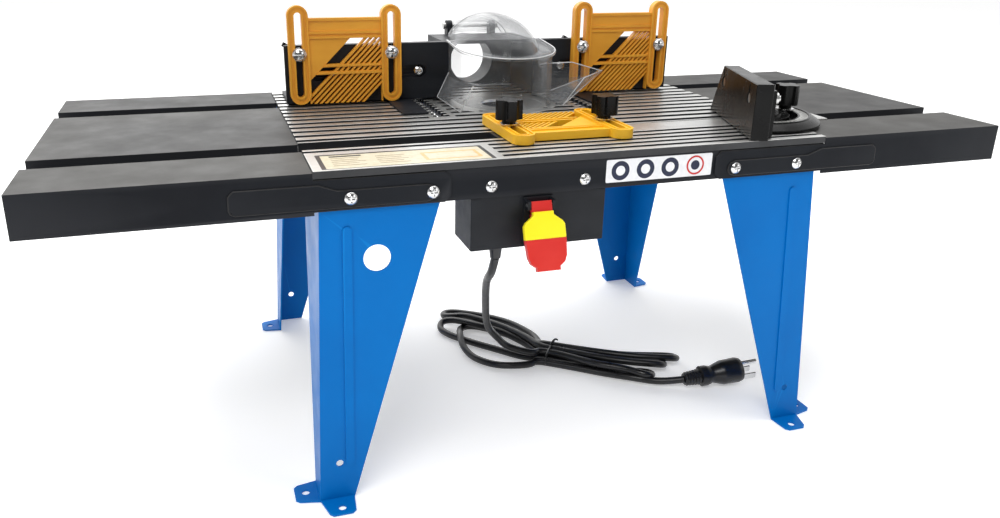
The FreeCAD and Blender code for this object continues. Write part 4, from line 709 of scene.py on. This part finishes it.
def guard_folds():
    """Light grey wires along the edges of the guard's left skirt and right scoop, painted highlight where the
    clear folds catch the light; y is measured from the front edge.
    """
    folds = {
        "skirt": [(-48, 161, 305.4), (-60.4, 161, 280.6), (-60.4, 243.9, 280.6), (-48, 243.9, 305.4)],
        "scoop": [(49.4, 170.4, 280.6), (71.4, 170.6, 307.4), (117.8, 225.6, 304), (82, 225.6, 314.4),
                  (47.6, 225.6, 314)],
        "hem": [(49.6, 170.8, 280.7), (117.6, 225.8, 304), (48, 226.4, 281.6)],
    }
    for name, corners in folds.items():
        points = [(x, FRONT + y, z) for x, y, z in corners]
        wire("guard_%s_edge" % name, points, 0.5, "guard", "guard_edge_highlight")


top_label()
front_label()
protractor()
crease_shade_lines()
guard_rim()
guard_seams()
guard_folds()

# ---------------------------------------------------------------- camera and light

def add_camera():
    """Camera in front of the table's left half, turned right and looking a little down."""
    data = bpy.data.cameras.new("camera")
    data.sensor_width = 36
    data.lens = 30.285
    data.shift_x = 0.0299
    data.shift_y = -0.0332
    data.clip_start = 0.01
    camera = bpy.data.objects.new("camera", data)
    bpy.context.scene.collection.objects.link(camera)
    yaw, pitch, roll = 0.313642, 0.336759, 0.0140896
    ahead = Vector((math.sin(yaw) * math.cos(pitch), math.cos(yaw) * math.cos(pitch), -math.sin(pitch)))
    level_right = Vector((math.cos(yaw), -math.sin(yaw), 0))
    level_up = level_right.cross(ahead)
    right = level_right * math.cos(roll) + level_up * math.sin(roll)
    up = level_up * math.cos(roll) - level_right * math.sin(roll)
    turned = Matrix((right, up, -ahead)).transposed().to_4x4()
    camera.matrix_world = Matrix.Translation((-0.2945, -0.76246, 0.44355)) @ turned
    bpy.context.scene.camera = camera


def add_floor():
    """Large pale floor with a faint glow of its own, just under the feet."""
    build = bmesh.new()
    bmesh.ops.create_grid(build, x_segments=1, y_segments=1, size=40)
    floor = finish_mesh(build, "floor", None, "studio_floor")
    floor.location.z = -0.5 * MM
    paper = LOOKS["studio_floor"].node_tree.nodes["Principled BSDF"]
    paper.inputs["Emission Color"].default_value = (1, 1, 1, 1)
    paper.inputs["Emission Strength"].default_value = 0.32


def area_light(name, place, size, power):
    """Soft rectangular lamp aimed at the table."""
    data = bpy.data.lights.new(name, "AREA")
    data.shape = "RECTANGLE"
    data.size, data.size_y = size
    data.energy = power
    lamp = bpy.data.objects.new(name, data)
    lamp.location = place
    lamp.rotation_mode = "QUATERNION"
    lamp.rotation_quaternion = (Vector((0, 0, 0.2)) - Vector(place)).to_track_quat("-Z", "Y")
    bpy.context.scene.collection.objects.link(lamp)


def add_world():
    """Bright studio behind and above the table, and a dim room behind the viewer."""
    world = bpy.data.worlds.new("world")
    world.use_nodes = True
    tree = world.node_tree
    look_way = tree.nodes.new("ShaderNodeTexCoord").outputs["Generated"]
    parts = tree.nodes.new("ShaderNodeSeparateXYZ")
    tree.links.new(look_way, parts.inputs["Vector"])
    fade = tree.nodes.new("ShaderNodeMapRange")
    ends = {"From Min": -0.45, "From Max": 0.10, "To Min": 0.10, "To Max": 1.05}
    for key, value in ends.items():
        fade.inputs[key].default_value = value
    tree.links.new(parts.outputs["Y"], fade.inputs["Value"])
    tree.links.new(fade.outputs["Result"], tree.nodes["Background"].inputs["Strength"])
    tree.nodes["Background"].inputs["Color"].default_value = (1, 1, 1, 1)
    bpy.context.scene.world = world


add_camera()
add_floor()
area_light("key", (-1.2, -1.7, 2.3), (1.6, 1.2), 36)
area_light("fill", (1.9, -1.6, 1.3), (1.2, 1.2), 10)
area_light("top", (0, 0.3, 2.6), (3.4, 2.4), 52)
area_light("back", (-0.4, 2.6, 1.5), (2.6, 1.4), 22)
add_world()
bpy.context.scene.view_settings.view_transform = "Standard"

round(line_length(cord), 2)

bpy.context.view_layer.update()
